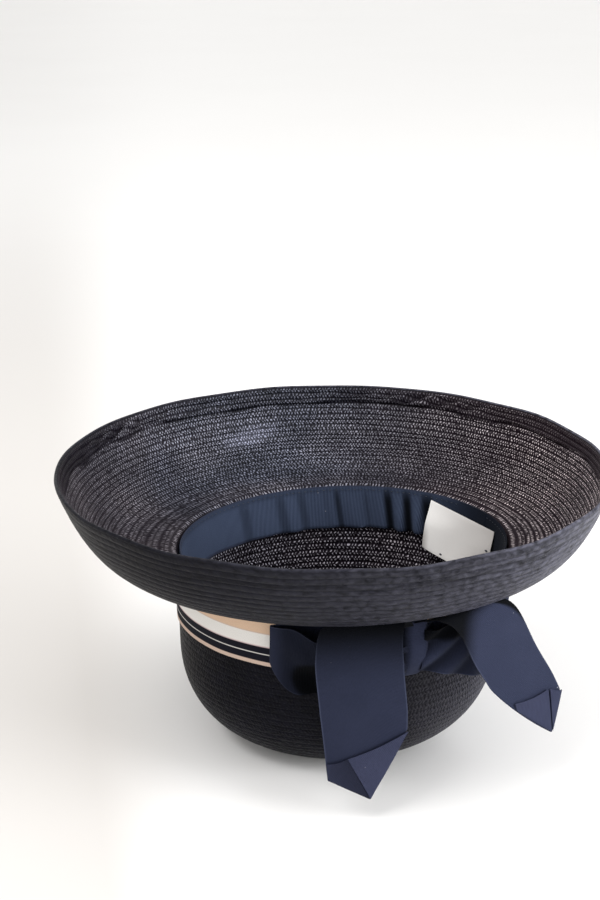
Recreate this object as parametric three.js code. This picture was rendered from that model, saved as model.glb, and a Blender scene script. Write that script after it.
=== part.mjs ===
// A sewn-straw cloche hat that lies on its crown, brim up, with a striped band and a ribbon bow.
// Millimetres, +Z up. The origin is the middle of the flat crown tip, on the surface it lies on.
// +X points to the back of the hat, and -Y to the side that carries the bow.
import * as THREE from 'three';

// Head opening: the oval of the straw's outer face where crown and brim meet
const HEAD_HALF_LENGTH = 98.0;
const HEAD_HALF_WIDTH = 85.0;
const HEAD_CENTRE_X = 4.0;
const HEADLINE_HEIGHT = 120.5;
const HEADLINE_SLOPE = 0.028;
const HEADLINE_BEND = 4.0;

// Crown
const STRAW_WALL = 1.6;
const CROWN_TAPER = 0.055;
const CROWN_CORNER_HEIGHT = 61.0;
const CROWN_CORNER_POWER = 2.36;
const CROWN_TIP_SHARE = 0.31;

// Brim: its edge is an oval too, and the height rises with a power of the run
const RIM_HALF_LENGTH = 160.0;
const RIM_HALF_WIDTH = 146.0;
const RIM_CENTRE_X = -2.6;
const RIM_HEIGHT = 169.0;
const RIM_SLOPE = 0.007;
const BRIM_POWER = 3.7;
const HEM_FROM = 0.93;
const HEM_STEP = 0.006;
const HEM_WALL = 2.8;

// Bands
const BAND_WALL = 1.0;
const HAT_BAND_TOP = 5.5;
const HAT_BAND_WIDTH = 38.0;
const SWEATBAND_TOP = -1.0;
const SWEATBAND_WIDTH = 28.5;
const PUCKER_DEPTH = 3.0;
const PUCKER_CENTRE = 63.75;
const PUCKER_SPAN = 12;
const PUCKER_PITCH = 7.5;

// Label: its side edges touch the inner band, and it hangs flat between them
const LABEL_FROM = 13;
const LABEL_TO = 52.5;
const LABEL_TOP = 2.5;
const LABEL_HEIGHT = 30.5;
const LABEL_DROP = 2.6;
const LABEL_TILT = 2.4;
const LABEL_LEAN = 2.2;
const LABEL_BULGE = 4.0;
const LABEL_WALL = 1.0;

// Bow
const RIBBON_WIDTH = 47.0;
const RIBBON_WALL = 1.0;
const BOW_ANGLE = -68;
const BOW_HEIGHT = 95.0;
const KNOT_HEIGHT = 32.0;
const KNOT_HALF_LENGTH = 9.0;
const KNOT_DEPTH = 15.0;
const KNOT_END_SHARE = 0.8;
const KNOT_SQUARENESS = 0.6;
const FRONT_LOOP_LENGTH = 67.0;
const BACK_LOOP_LENGTH = 54.0;
const LOOP_WAIST_WIDTH = 26.0;
const LOOP_FULL_WIDTH_AT = 0.8;
const LOOP_DROOP = 7.0;
const LOOP_MIDDLE = 7.0;
const LOOP_WAIST_GAP = 3.2;
const LOOP_BELLY = 3.0;
const LOOP_PLEATS = 2.5;
const PLEAT_DEPTH = 1.1;
const FLAP_STEP = 0.008;

const GAP = 0.3;

// Mesh fineness
const CROWN_SIDES = 48;
const BRIM_SIDES = 60;
const BAND_SIDES = 60;
const SWEATBAND_SIDES = 90;
const KNOT_SIDES = 16;
const LOOP_ROWS = 25;
const LOOP_COLUMNS = 9;
const TAIL_ROWS = 15;
const FLAP_ROWS = 4;

const STRAW = new THREE.MeshStandardMaterial({ color: 0x16171f, roughness: 0.55, metalness: 0 });
const NAVY_RIBBON = new THREE.MeshStandardMaterial({ color: 0x1b2036, roughness: 0.8, metalness: 0 });
const STRIPED_RIBBON = new THREE.MeshStandardMaterial({ color: 0xd9c0ad, roughness: 0.75, metalness: 0 });
const SATIN = new THREE.MeshStandardMaterial({ color: 0xf1ece6, roughness: 0.45, metalness: 0 });

const radians = THREE.MathUtils.degToRad;
const lerp = THREE.MathUtils.lerp;
const smoothstep = THREE.MathUtils.smoothstep;

// A list of count values made by a function of the share 0..1 along the list
function along(count, valueAt) {
  return Array.from({ length: count }, (_, i) => valueAt(i / (count - 1)));
}

// Volume inside the triangles, negative where they face inwards
function signedVolume(points, triangles) {
  let six = 0;
  for (let i = 0; i < triangles.length; i += 3) {
    const [a, b, c] = [points[triangles[i]], points[triangles[i + 1]], points[triangles[i + 2]]];
    six += a.dot(b.clone().cross(c));
  }
  return six / 6;
}

// A named mesh from points and triangles, turned so that its faces point out
function solid(name, points, triangles, material) {
  const outward = signedVolume(points, triangles) > 0 ? triangles : triangles.slice().reverse();
  const geometry = new THREE.BufferGeometry();
  geometry.setAttribute('position', new THREE.Float32BufferAttribute(points.flatMap((p) => p.toArray()), 3));
  geometry.setIndex(outward);
  geometry.computeVertexNormals();
  const mesh = new THREE.Mesh(geometry, material);
  mesh.name = name;
  return mesh;
}

// Triangles of the quads between each closed row of points and the next one
function sideTriangles(rowCount, rowLength, closed) {
  const triangles = [];
  for (let row = 0; row < (closed ? rowCount : rowCount - 1); row += 1) {
    const next = (row + 1) % rowCount;
    for (let i = 0; i < rowLength; i += 1) {
      const j = (i + 1) % rowLength;
      const [a, b] = [row * rowLength + i, row * rowLength + j];
      const [c, d] = [next * rowLength + j, next * rowLength + i];
      triangles.push(a, b, c, a, c, d);
    }
  }
  return triangles;
}

// Rows of points in closed rings whose last ring joins the first: a wall that runs right round
function ringSolid(name, rows, material) {
  return solid(name, rows.flat(), sideTriangles(rows.length, rows[0].length, true), material);
}

// Rows of points in closed rings, with the first and last ring closed by a fan round its middle
function cupSolid(name, rows, material) {
  const points = rows.flat();
  const sides = rows[0].length;
  const triangles = sideTriangles(rows.length, sides, false);
  const fan = (start, flip) => {
    const middle = new THREE.Vector3();
    points.slice(start, start + sides).forEach((p) => middle.addScaledVector(p, 1 / sides));
    const centre = points.push(middle) - 1;
    for (let i = 0; i < sides; i += 1) {
      const [a, b] = [start + i, start + ((i + 1) % sides)];
      triangles.push(...(flip ? [centre, b, a] : [centre, a, b]));
    }
  };
  fan(0, true);
  fan((rows.length - 1) * sides, false);
  return solid(name, points, triangles, material);
}

// A strip of ribbon from rows of points across it: the wall is laid half to each side of the rows
function stripSolid(name, rows, wall, material) {
  const normals = gridNormals(rows, false);
  const loops = rows.map((row, r) => {
    const face = (side) => row.map((p, i) => p.clone().addScaledVector(normals[r][i], side * wall(r, side)));
    return [...face(1), ...face(-1).reverse()];
  });
  const length = loops[0].length;
  const triangles = sideTriangles(loops.length, length, false);
  const cap = (start, flip) => {
    for (let i = 0; i < length / 2 - 1; i += 1) {
      const [a, b] = [start + i, start + i + 1];
      const [c, d] = [start + length - 2 - i, start + length - 1 - i];
      triangles.push(...(flip ? [b, a, d, b, d, c] : [a, b, c, a, c, d]));
    }
  };
  cap(0, true);
  cap((loops.length - 1) * length, false);
  return solid(name, loops.flat(), triangles, material);
}

// Unit normals of a grid of points, from the differences along and across its rows
function gridNormals(rows, round) {
  const last = rows.length - 1;
  return rows.map((row, r) => row.map((_, i) => {
    const before = round ? (i + row.length - 1) % row.length : Math.max(i - 1, 0);
    const after = round ? (i + 1) % row.length : Math.min(i + 1, row.length - 1);
    const across = row[after].clone().sub(row[before]);
    const down = rows[Math.min(r + 1, last)][i].clone().sub(rows[Math.max(r - 1, 0)][i]);
    return across.cross(down).normalize();
  }));
}

// Rows moved along their normals by a distance for each row
function offsetRows(rows, distance) {
  const normals = gridNormals(rows, true);
  return rows.map((row, r) => row.map((p, i) => p.clone().addScaledVector(normals[r][i], distance(r))));
}

// Height of the headline at an angle round the head opening
function headlineHeight(angle) {
  return HEADLINE_HEIGHT + HEADLINE_SLOPE * HEAD_HALF_LENGTH * Math.cos(angle);
}

// A point on a level oval at a share of the head opening's size
function headOval(angle, share, z, centreX) {
  const x = centreX + HEAD_HALF_LENGTH * share * Math.cos(angle);
  const y = HEAD_HALF_WIDTH * share * Math.sin(angle);
  return new THREE.Vector3(x, y, z);
}

// Share of the head opening's size that the crown's outer face has at a height
function crownShare(z) {
  const wall = 1 - CROWN_TAPER * (1 - z / HEADLINE_HEIGHT);
  const drop = Math.max(0, 1 - z / CROWN_CORNER_HEIGHT);
  const corner = Math.max(0, 1 - drop ** CROWN_CORNER_POWER) ** (1 / CROWN_CORNER_POWER);
  return lerp(CROWN_TIP_SHARE, wall, corner);
}

// A point on the crown's outer face at a height, which the sloping headline stretches near the brim
function crownPoint(angle, z) {
  const slope = smoothstep(z, CROWN_CORNER_HEIGHT / 2, HEADLINE_HEIGHT);
  const level = z + slope * (headlineHeight(angle) - HEADLINE_HEIGHT);
  return headOval(angle, crownShare(z), level, HEAD_CENTRE_X * (z / HEADLINE_HEIGHT));
}

// One ring of points round the hat
function ring(sides, pointAt) {
  return Array.from({ length: sides }, (_, i) => pointAt((2 * Math.PI * i) / sides));
}

// Heights of the crown's rows: close together round the corner, then up the wall
function crownHeights(top) {
  const corner = along(8, (t) => CROWN_CORNER_HEIGHT * (1 - Math.cos((t * Math.PI) / 2)));
  const wall = along(4, (t) => lerp(CROWN_CORNER_HEIGHT, top, t));
  return [...corner, ...wall.slice(1)];
}

function makeCrown() {
  const top = HEADLINE_HEIGHT - HEADLINE_BEND - GAP;
  const outer = crownHeights(top).map((z) => ring(CROWN_SIDES, (angle) => crownPoint(angle, z)));
  const inner = offsetRows(outer, () => -STRAW_WALL);
  inner[0].forEach((p) => p.setZ(STRAW_WALL));
  inner[inner.length - 1].forEach((p, i) => p.setZ(outer[outer.length - 1][i].z));
  return cupSolid('crown', [...outer, ...inner.reverse()], STRAW);
}

// A point on the brim's outer face at a share of its run from the headline's bend to the edge
function brimPoint(angle, share) {
  const start = headOval(angle, 1 + HEADLINE_BEND / HEAD_HALF_LENGTH, headlineHeight(angle), HEAD_CENTRE_X);
  const edgeHeight = RIM_HEIGHT + RIM_SLOPE * RIM_HALF_LENGTH * Math.cos(angle);
  const x = lerp(start.x, RIM_CENTRE_X + RIM_HALF_LENGTH * Math.cos(angle), share);
  const y = lerp(start.y, RIM_HALF_WIDTH * Math.sin(angle), share);
  return new THREE.Vector3(x, y, lerp(start.z, edgeHeight, share ** BRIM_POWER));
}

// A point on the quarter bend that turns the upright crown wall into the level brim
function bendPoint(angle, turn) {
  const out = (HEADLINE_BEND / HEAD_HALF_LENGTH) * (1 - Math.cos(turn));
  const z = headlineHeight(angle) - HEADLINE_BEND * (1 - Math.sin(turn));
  return headOval(angle, 1 + out, z, HEAD_CENTRE_X);
}

function makeBrim() {
  const bend = along(3, (t) => ring(BRIM_SIDES, (angle) => bendPoint(angle, (t * Math.PI) / 2)));
  const body = along(8, (t) => HEM_FROM * t ** 0.6).slice(1);
  const hem = along(3, (t) => lerp(HEM_FROM + HEM_STEP, 1, t));
  const hemStart = bend.length + body.length;
  const slope = [...body, ...hem].map((share) => ring(BRIM_SIDES, (angle) => brimPoint(angle, share)));
  const outer = [...bend, ...slope];
  const inner = offsetRows(outer, (r) => (r < hemStart ? -STRAW_WALL : -HEM_WALL));
  return ringSolid('brim', [...outer, ...inner.reverse()], STRAW);
}

// A band on the crown wall: rows from its top edge to its bottom edge, at a distance from the wall
function bandRows(sides, top, width, rowCount, distance) {
  const rows = along(rowCount, (t) => {
    const z = HEADLINE_HEIGHT - top - width * t;
    return ring(sides, (angle) => crownPoint(angle, z));
  });
  const normals = gridNormals(rows, true);
  const facing = normals[0][0].x > 0 ? 1 : -1;
  return rows.map((row, r) => row.map((p, i) => {
    const angle = (2 * Math.PI * i) / sides;
    return p.clone().addScaledVector(normals[r][i], facing * distance(angle, r / (rowCount - 1)));
  }));
}

function makeHatBand() {
  const near = bandRows(BAND_SIDES, HAT_BAND_TOP, HAT_BAND_WIDTH, 3, () => GAP);
  const far = bandRows(BAND_SIDES, HAT_BAND_TOP, HAT_BAND_WIDTH, 3, () => GAP + BAND_WALL);
  return ringSolid('hat_band', [...far, ...near.reverse()], STRIPED_RIBBON);
}

// How far the inner band's puckers stand in from the wall, most at its lower edge
function puckerDepth(angle, share) {
  const degrees = THREE.MathUtils.radToDeg(angle);
  const reach = Math.max(0, 1 - Math.abs(degrees - PUCKER_CENTRE) / PUCKER_SPAN);
  const wave = 0.5 - 0.5 * Math.cos((2 * Math.PI * (degrees - PUCKER_CENTRE)) / PUCKER_PITCH);
  return PUCKER_DEPTH * smoothstep(reach, 0, 0.4) * wave * share;
}

function makeSweatband() {
  const wallIn = -(STRAW_WALL + GAP);
  const back = (angle, share) => wallIn - puckerDepth(angle, share);
  const face = (angle, share) => back(angle, share) - BAND_WALL;
  const near = bandRows(SWEATBAND_SIDES, SWEATBAND_TOP, SWEATBAND_WIDTH, 3, back);
  const far = bandRows(SWEATBAND_SIDES, SWEATBAND_TOP, SWEATBAND_WIDTH, 3, face);
  return ringSolid('sweatband', [...near, ...far.reverse()], NAVY_RIBBON);
}

// A point on the inner band's face at an angle, moved in towards the head
function sweatbandFace(angle, z, inwards) {
  const outward = new THREE.Vector3(Math.cos(angle) / HEAD_HALF_LENGTH, Math.sin(angle) / HEAD_HALF_WIDTH, 0);
  const inset = STRAW_WALL + BAND_WALL + 2 * GAP + inwards;
  return crownPoint(angle, z).addScaledVector(outward.normalize(), -inset);
}

function makeLabel() {
  const z = HEADLINE_HEIGHT - LABEL_TOP;
  const from = sweatbandFace(radians(LABEL_TO), z, LABEL_WALL / 2);
  const to = sweatbandFace(radians(LABEL_FROM), z - LABEL_DROP, LABEL_WALL / 2);
  const inwards = new THREE.Vector3().subVectors(to, from).cross(new THREE.Vector3(0, 0, 1)).setZ(0).normalize();
  const rows = along(5, (down) => along(9, (side) => {
    const lean = LABEL_LEAN * (1 - side) * down ** 2 + LABEL_BULGE * Math.sin(Math.PI * side) * down;
    const point = from.clone().lerp(to, side).addScaledVector(inwards, LABEL_TILT * down + lean);
    return point.setZ(point.z - LABEL_HEIGHT * down);
  }));
  return stripSolid('label', rows, () => LABEL_WALL / 2, SATIN);
}

// Walks along the hat band's outer face from the middle of the bow.
// Gives the point at a distance along it, at a distance out from it and at a height.
function bowPoint(distance, out, z) {
  const lengthPerRadian = (a) => Math.hypot(HEAD_HALF_LENGTH * Math.sin(a), HEAD_HALF_WIDTH * Math.cos(a));
  const steps = 24;
  let angle = radians(BOW_ANGLE);
  for (let i = 0; i < steps; i += 1) {
    angle += distance / steps / lengthPerRadian(angle);
  }
  const foot = crownPoint(angle, Math.max(z, CROWN_CORNER_HEIGHT));
  const normal = new THREE.Vector3(Math.cos(angle) / HEAD_HALF_LENGTH, Math.sin(angle) / HEAD_HALF_WIDTH, 0);
  return foot.addScaledVector(normal.normalize(), GAP + BAND_WALL + out).setZ(z);
}

// A loop runs out from the knot, turns back at its end and returns under itself.
// It is narrow and pleated at the knot, and it widens and droops towards its end.
function makeLoop(name, side, length) {
  const start = KNOT_HALF_LENGTH + GAP;
  const rows = along(LOOP_ROWS, (t) => {
    const reach = (1 - Math.cos(2 * Math.PI * t)) / 2;
    const distance = side * (start + length * reach);
    const out = LOOP_MIDDLE + LOOP_WAIST_GAP * Math.cos(Math.PI * t) + LOOP_BELLY * Math.sin(2 * Math.PI * t);
    const width = lerp(LOOP_WAIST_WIDTH, RIBBON_WIDTH, smoothstep(reach, 0, LOOP_FULL_WIDTH_AT));
    return along(LOOP_COLUMNS, (across) => {
      const pleat = PLEAT_DEPTH * Math.cos(2 * Math.PI * LOOP_PLEATS * across) * (1 - reach) ** 2;
      const z = BOW_HEIGHT - LOOP_DROOP * reach + width * (across - 0.5);
      return bowPoint(distance, out + pleat, z);
    });
  });
  return stripSolid(name, rows, () => RIBBON_WALL / 2, NAVY_RIBBON);
}

function makeKnot() {
  const rows = along(7, (t) => {
    const z = BOW_HEIGHT + KNOT_HEIGHT * (t - 0.5);
    const round = lerp(KNOT_END_SHARE, 1, Math.sqrt(Math.sin(Math.PI * t)));
    return ring(KNOT_SIDES, (angle) => {
      const corner = (v) => Math.sign(v) * Math.abs(v) ** KNOT_SQUARENESS;
      const distance = KNOT_HALF_LENGTH * round * corner(Math.cos(angle));
      const out = GAP + (KNOT_DEPTH / 2) * (1 + round * corner(Math.sin(angle)));
      return bowPoint(distance, out, z);
    });
  });
  return cupSolid('bow_knot', rows, NAVY_RIBBON);
}

// Each row is a station of a tail's middle line, from the knot to the tip of its point.
// turn is the angle of the ribbon's width from +X, and rise the width's slope, in degrees.
const FRONT_TAIL = [
  { x: 33, y: -95, z: 111.9, half: 7, turn: 18, rise: 0 },
  { x: 22, y: -101, z: 117, half: 21, turn: 8, rise: 0 },
  { x: 12.5, y: -107, z: 114, half: 23.5, turn: 3, rise: 0 },
  { x: 10.2, y: -109, z: 98, half: 23.5, turn: 2, rise: 0 },
  { x: 12.9, y: -108, z: 68, half: 23.5, turn: 2, rise: 2 },
  { x: 14.7, y: -107, z: 38, half: 22, turn: 4, rise: 3 },
  { x: 15.6, y: -107, z: 13.5, half: 20.5, turn: 6, rise: 3 },
];
const BACK_TAIL = [
  { x: 48, y: -90, z: 111.8, half: 7, turn: 22, rise: 0 },
  { x: 60, y: -93, z: 117.5, half: 18, turn: 33, rise: 0 },
  { x: 70.5, y: -89.5, z: 118.5, half: 22.5, turn: 40, rise: 0 },
  { x: 80.5, y: -85, z: 111, half: 23, turn: 41, rise: 0 },
  { x: 91.5, y: -81, z: 88, half: 23.5, turn: 38, rise: -4 },
  { x: 103.5, y: -78.5, z: 66, half: 24, turn: 36, rise: -8 },
  { x: 113.5, y: -80, z: 38, half: 25.5, turn: 35, rise: -10 },
];

// The mitred end: where the tip lies across the ribbon, the shares of the tail's length
// where each edge of the point starts, and where the folded flap starts at each edge and in the middle
const FRONT_TIP = { tip: 0.54, low: 0.9, high: 0.73, flapLow: 0.82, flapMiddle: 0.77, flapHigh: 0.72 };
const BACK_TIP = { tip: 0.66, low: 0.8, high: 0.87, flapLow: 0.79, flapMiddle: 0.8, flapHigh: 0.83 };

// A free ribbon end: the stations are smoothed, and the rows end in the point of the mitre
function makeTail(name, stations, end) {
  const curve = new THREE.CatmullRomCurve3(stations.map((s) => new THREE.Vector3(s.x, s.y, s.z)));
  const columnAt = (column, t) => {
    const place = t * (stations.length - 1);
    const before = Math.min(Math.floor(place), stations.length - 2);
    return lerp(stations[before][column], stations[before + 1][column], place - before);
  };
  const acrossShares = [0, end.tip / 3, (2 * end.tip) / 3, end.tip, (1 + 2 * end.tip) / 3, (2 + end.tip) / 3, 1];
  const between = (across, low, middle, high) => (across < end.tip
    ? lerp(low, middle, across / end.tip)
    : lerp(middle, high, (across - end.tip) / (1 - end.tip)));
  const bodyRows = along(TAIL_ROWS, (t) => ({ t, folded: false }));
  const flapRows = along(FLAP_ROWS, (t) => ({ t, folded: true }));
  const rows = [...bodyRows, ...flapRows].map(({ t, folded }) => acrossShares.map((across) => {
    const fold = between(across, end.flapLow, end.flapMiddle, end.flapHigh);
    const tip = between(across, end.low, 1, end.high);
    const share = folded ? lerp(fold + FLAP_STEP, tip, t) : fold * t;
    const turn = radians(columnAt('turn', share));
    const rise = radians(columnAt('rise', share));
    const width = new THREE.Vector3(Math.cos(turn), Math.sin(turn), Math.sin(rise));
    return curve.getPoint(share).addScaledVector(width, 2 * columnAt('half', share) * (across - 0.5));
  }));
  const folded = (r, side) => r >= bodyRows.length && side < 0;
  const wall = (r, side) => RIBBON_WALL / 2 + (folded(r, side) ? RIBBON_WALL : 0);
  return stripSolid(name, rows, wall, NAVY_RIBBON);
}

const hat = new THREE.Group();
hat.add(
  makeCrown(),
  makeBrim(),
  makeHatBand(),
  makeSweatband(),
  makeLabel(),
  makeLoop('bow_loop_front', -1, FRONT_LOOP_LENGTH),
  makeLoop('bow_loop_back', 1, BACK_LOOP_LENGTH),
  makeKnot(),
  makeTail('bow_tail_front', FRONT_TAIL, FRONT_TIP),
  makeTail('bow_tail_back', BACK_TAIL, BACK_TIP),
);

export default hat;
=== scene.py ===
"""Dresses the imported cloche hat: sewn straw rows, ribbons, a bow and a label, in a plain studio.

Shapes are worked out in millimetres in the part's own frame and put into meshes in metres. The origin is
the middle of the crown's flat tip, +X points to the back of the hat, -Y to the side with the bow, and +Z
up.
"""

import logging
import math
from dataclasses import dataclass, field, replace
from enum import Enum
from typing import Any, Callable, Optional, Union

import bmesh
import bpy
import numpy as np
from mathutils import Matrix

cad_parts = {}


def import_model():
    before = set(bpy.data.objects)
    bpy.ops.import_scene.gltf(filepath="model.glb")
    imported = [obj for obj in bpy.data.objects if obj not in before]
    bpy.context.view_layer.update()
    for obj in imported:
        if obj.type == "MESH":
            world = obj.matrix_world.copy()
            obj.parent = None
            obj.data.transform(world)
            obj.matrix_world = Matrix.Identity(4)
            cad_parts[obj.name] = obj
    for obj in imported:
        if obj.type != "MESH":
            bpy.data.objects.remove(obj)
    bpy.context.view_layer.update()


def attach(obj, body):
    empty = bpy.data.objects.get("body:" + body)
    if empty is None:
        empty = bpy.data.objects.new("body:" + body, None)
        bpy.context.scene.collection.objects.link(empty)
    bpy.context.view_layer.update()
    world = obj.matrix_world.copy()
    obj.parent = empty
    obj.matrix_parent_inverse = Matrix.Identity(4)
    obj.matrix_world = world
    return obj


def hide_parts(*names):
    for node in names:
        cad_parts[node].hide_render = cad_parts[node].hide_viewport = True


LOG = logging.getLogger("cloche")
Array = np.ndarray
Colour = tuple[float, float, float]
MM = 0.001
TURN = 2.0 * math.pi
BODY = "root"
# Points of a mesh that lie closer than this, in metres, become one
MERGE = 1e-6
# Keeps a vector of no length from a division by zero
TINY = 1e-9
# Angle of the hat's side, where the profiles of crown and brim are measured
SIDE = np.array(math.pi / 2)
UP = np.array([0.0, 0.0, 1.0])


class Slot(Enum):
    """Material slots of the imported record."""

    STRAW = "straw"
    NAVY_RIBBON = "navy_ribbon"
    STRIPED_RIBBON = "striped_ribbon"
    SATIN = "satin"


class Held(Enum):
    """How a sheet of cloth is held on the hat."""

    HUNG = "hung"
    FOLDED = "folded"
    STRETCHED = "stretched"


class Way(Enum):
    """The way along the hat band that a loop runs from the knot."""

    FRONT = -1.0
    BACK = 1.0


def lerp(low: Any, high: Any, share: Any) -> Any:
    """The value at a share of the way from low to high."""
    return low + (high - low) * share


def smoothstep(value: Any, low: float, high: float) -> Array:
    """0 below low, 1 above high, and a smooth cubic step between."""
    share = np.clip((value - low) / (high - low), 0.0, 1.0)
    return share * share * (3.0 - 2.0 * share)


def hump(value: Any, middle: float, width: float, power: int = 2) -> Array:
    """A bell that is 1 at the middle and fades over the width. A higher power has a flatter top."""
    return np.exp(-(((value - middle) / width) ** power))


def as_points(x: Any, y: Any, z: Any) -> Array:
    """Points from their three coordinates, spread to one common shape."""
    return np.stack(np.broadcast_arrays(x, y, z), axis=-1).astype(float)


def as_places(across: Any, along: Any) -> Array:
    """Places on a pattern map from their two numbers, spread to one common shape."""
    return np.stack(np.broadcast_arrays(across, along), axis=-1).astype(float)


def unit(vectors: Array) -> Array:
    """The vectors at length 1."""
    return vectors / np.maximum(np.linalg.norm(vectors, axis=-1, keepdims=True), TINY)


def lengths_along(points: Array) -> Array:
    """Millimetres along a line of points, or along each column of a grid, from its first row."""
    steps = np.linalg.norm(np.diff(points, axis=0), axis=-1)
    return np.concatenate([np.zeros_like(steps[:1]), np.cumsum(steps, axis=0)])


@dataclass(frozen=True)
class Wave:
    """An uneven wave that closes on itself: a sum of sines of whole rates round the hat, about -1 to 1.

    seed picks the rates and phases, the same each run. slowest and fastest are the fewest and the most
    waves in a turn, and terms is the number of sines.
    """

    seed: int
    slowest: int
    fastest: int
    terms: int = 7

    def at(self, angle: Array) -> Array:
        """The wave at each angle, in radians."""
        draw = np.random.default_rng(self.seed)
        rates = draw.integers(self.slowest, self.fastest + 1, self.terms)
        phases = draw.uniform(0.0, TURN, self.terms)
        return np.sin(np.asarray(angle)[..., None] * rates + phases).sum(-1) / math.sqrt(2.0 * self.terms)


def turn_angles(columns: int) -> Array:
    """Angles of a full turn as one row, whose last column repeats the first."""
    return np.linspace(0.0, TURN, columns + 1)[None, :]


def ring_normals(points: Array, row: int) -> Array:
    """Unit normals of a grid that closes round the hat: differences across times differences down.

    Args:
        points: Rows of points, the last column a repeat of the first.
        row: A row whose normals point away from the hat's axis, which settles the sign.

    Returns:
        A normal for each point.
    """
    loop = points[:, :-1]
    across = np.roll(loop, -1, axis=1) - np.roll(loop, 1, axis=1)
    normals = unit(np.cross(across, np.gradient(loop, axis=0)))
    away = (normals[row, :, :2] * loop[row, :, :2]).sum()
    normals = normals * np.sign(away)
    return np.concatenate([normals, normals[:, :1]], axis=1)


def strip_normals(points: Array) -> Array:
    """Unit normals of an open grid: differences across times differences along."""
    return unit(np.cross(np.gradient(points, axis=1), np.gradient(points, axis=0)))


def quad_corners(values: Array) -> Array:
    """The values at the four corners of each face of a grid, in order round it."""
    quads = (values[:-1, :-1], values[:-1, 1:], values[1:, 1:], values[1:, :-1])
    return np.stack(quads, axis=2).reshape(-1, 4, *values.shape[2:])


@dataclass
class Grid:
    """A surface on rows and columns of points, in millimetres.

    A joined direction has its last row or column as a repeat of the first, so that its pattern runs on.
    Marks are named numbers for each point, which a finish reads.
    """

    points: Array
    uv: Array
    joined_rows: bool = False
    joined_columns: bool = False
    marks: dict[str, Array] = field(default_factory=dict)

    def parts(self) -> tuple[Array, Array, Array, dict[str, Array]]:
        """Vertices, the vertex numbers and pattern places of each face's four corners, and the marks."""
        rows = self.points.shape[0] - int(self.joined_rows)
        columns = self.points.shape[1] - int(self.joined_columns)
        number = np.arange(self.points.shape[0])[:, None] % rows * columns
        number = number + np.arange(self.points.shape[1])[None, :] % columns
        vertices = self.points[:rows, :columns].reshape(-1, 3)
        faces = quad_corners(number)
        places = quad_corners(self.uv)
        marks = {name: values[:rows, :columns].reshape(-1) for name, values in self.marks.items()}
        return vertices, *self._outward(vertices, faces, places), marks

    @staticmethod
    def _outward(vertices: Array, faces: Array, places: Array) -> tuple[Array, Array]:
        """The faces and places, turned where the volume that the faces enclose is negative."""
        a, b, c, d = (vertices[faces[:, i]] for i in range(4))
        volume = (a * np.cross(b, c)).sum() + (a * np.cross(c, d)).sum()
        return (faces, places) if volume > 0 else (faces[:, ::-1], places[:, ::-1])


def make_mesh(name: str, grids: list[Grid], sharp: float) -> bpy.types.Mesh:
    """One mesh from several grids, with its pattern places as a UV map and its marks as attributes.

    Args:
        name: The mesh's name.
        grids: The surfaces, in millimetres.
        sharp: Angle in degrees from which an edge between two faces stays sharp.

    Returns:
        The mesh, in metres, with points that fall together merged.
    """
    parts = [grid.parts() for grid in grids]
    firsts = np.cumsum([0] + [len(part[0]) for part in parts])
    vertices = np.concatenate([part[0] for part in parts]) * MM
    faces = np.concatenate([part[1] + first for part, first in zip(parts, firsts)])
    places = np.concatenate([part[2] for part in parts])
    mesh = bpy.data.meshes.new(name)
    mesh.vertices.add(len(vertices))
    mesh.vertices.foreach_set("co", vertices.ravel())
    mesh.loops.add(faces.size)
    mesh.loops.foreach_set("vertex_index", faces.ravel().astype(np.int32))
    mesh.polygons.add(len(faces))
    mesh.polygons.foreach_set("loop_start", np.arange(0, faces.size, 4, dtype=np.int32))
    mesh.update(calc_edges=True)
    mesh.uv_layers.new(name="pattern").data.foreach_set("uv", places.reshape(-1).astype(np.float32))
    for mark in grids[0].marks:
        values = np.concatenate([part[3][mark] for part in parts])
        mesh.attributes.new(mark, "FLOAT", "POINT").data.foreach_set("value", values.astype(np.float32))
    merged = bmesh.new()
    merged.from_mesh(mesh)
    bmesh.ops.remove_doubles(merged, verts=merged.verts, dist=MERGE)
    merged.to_mesh(mesh)
    merged.free()
    mesh.shade_smooth()
    mesh.set_sharp_from_angle(angle=math.radians(sharp))
    return mesh


def add_object(name: str, data: bpy.types.ID) -> bpy.types.Object:
    """A new object of a mesh, a light or a camera, in the scene."""
    thing = bpy.data.objects.new(name, data)
    bpy.context.scene.collection.objects.link(thing)
    return thing


def add_piece(
    name: str,
    grids: list[Grid],
    material: bpy.types.Material,
    stands_for: tuple[str, ...] = (),
    sharp: float = 60.0,
) -> bpy.types.Object:
    """Puts a finished piece on the hat.

    Args:
        name: The piece's name.
        grids: Its surfaces, in millimetres.
        material: Its finish.
        stands_for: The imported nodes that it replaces.
        sharp: Angle in degrees from which its edges stay sharp.

    Returns:
        The piece's object, at the origin.
    """
    piece = add_object(name, make_mesh(name, grids, sharp))
    piece.data.materials.append(material)
    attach(piece, BODY)
    if stands_for:
        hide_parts(*stands_for)
    LOG.info("%s: %d faces", name, len(piece.data.polygons))
    return piece


Link = Union["Value", bpy.types.NodeSocket]
Number = Union["Value", float]


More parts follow.
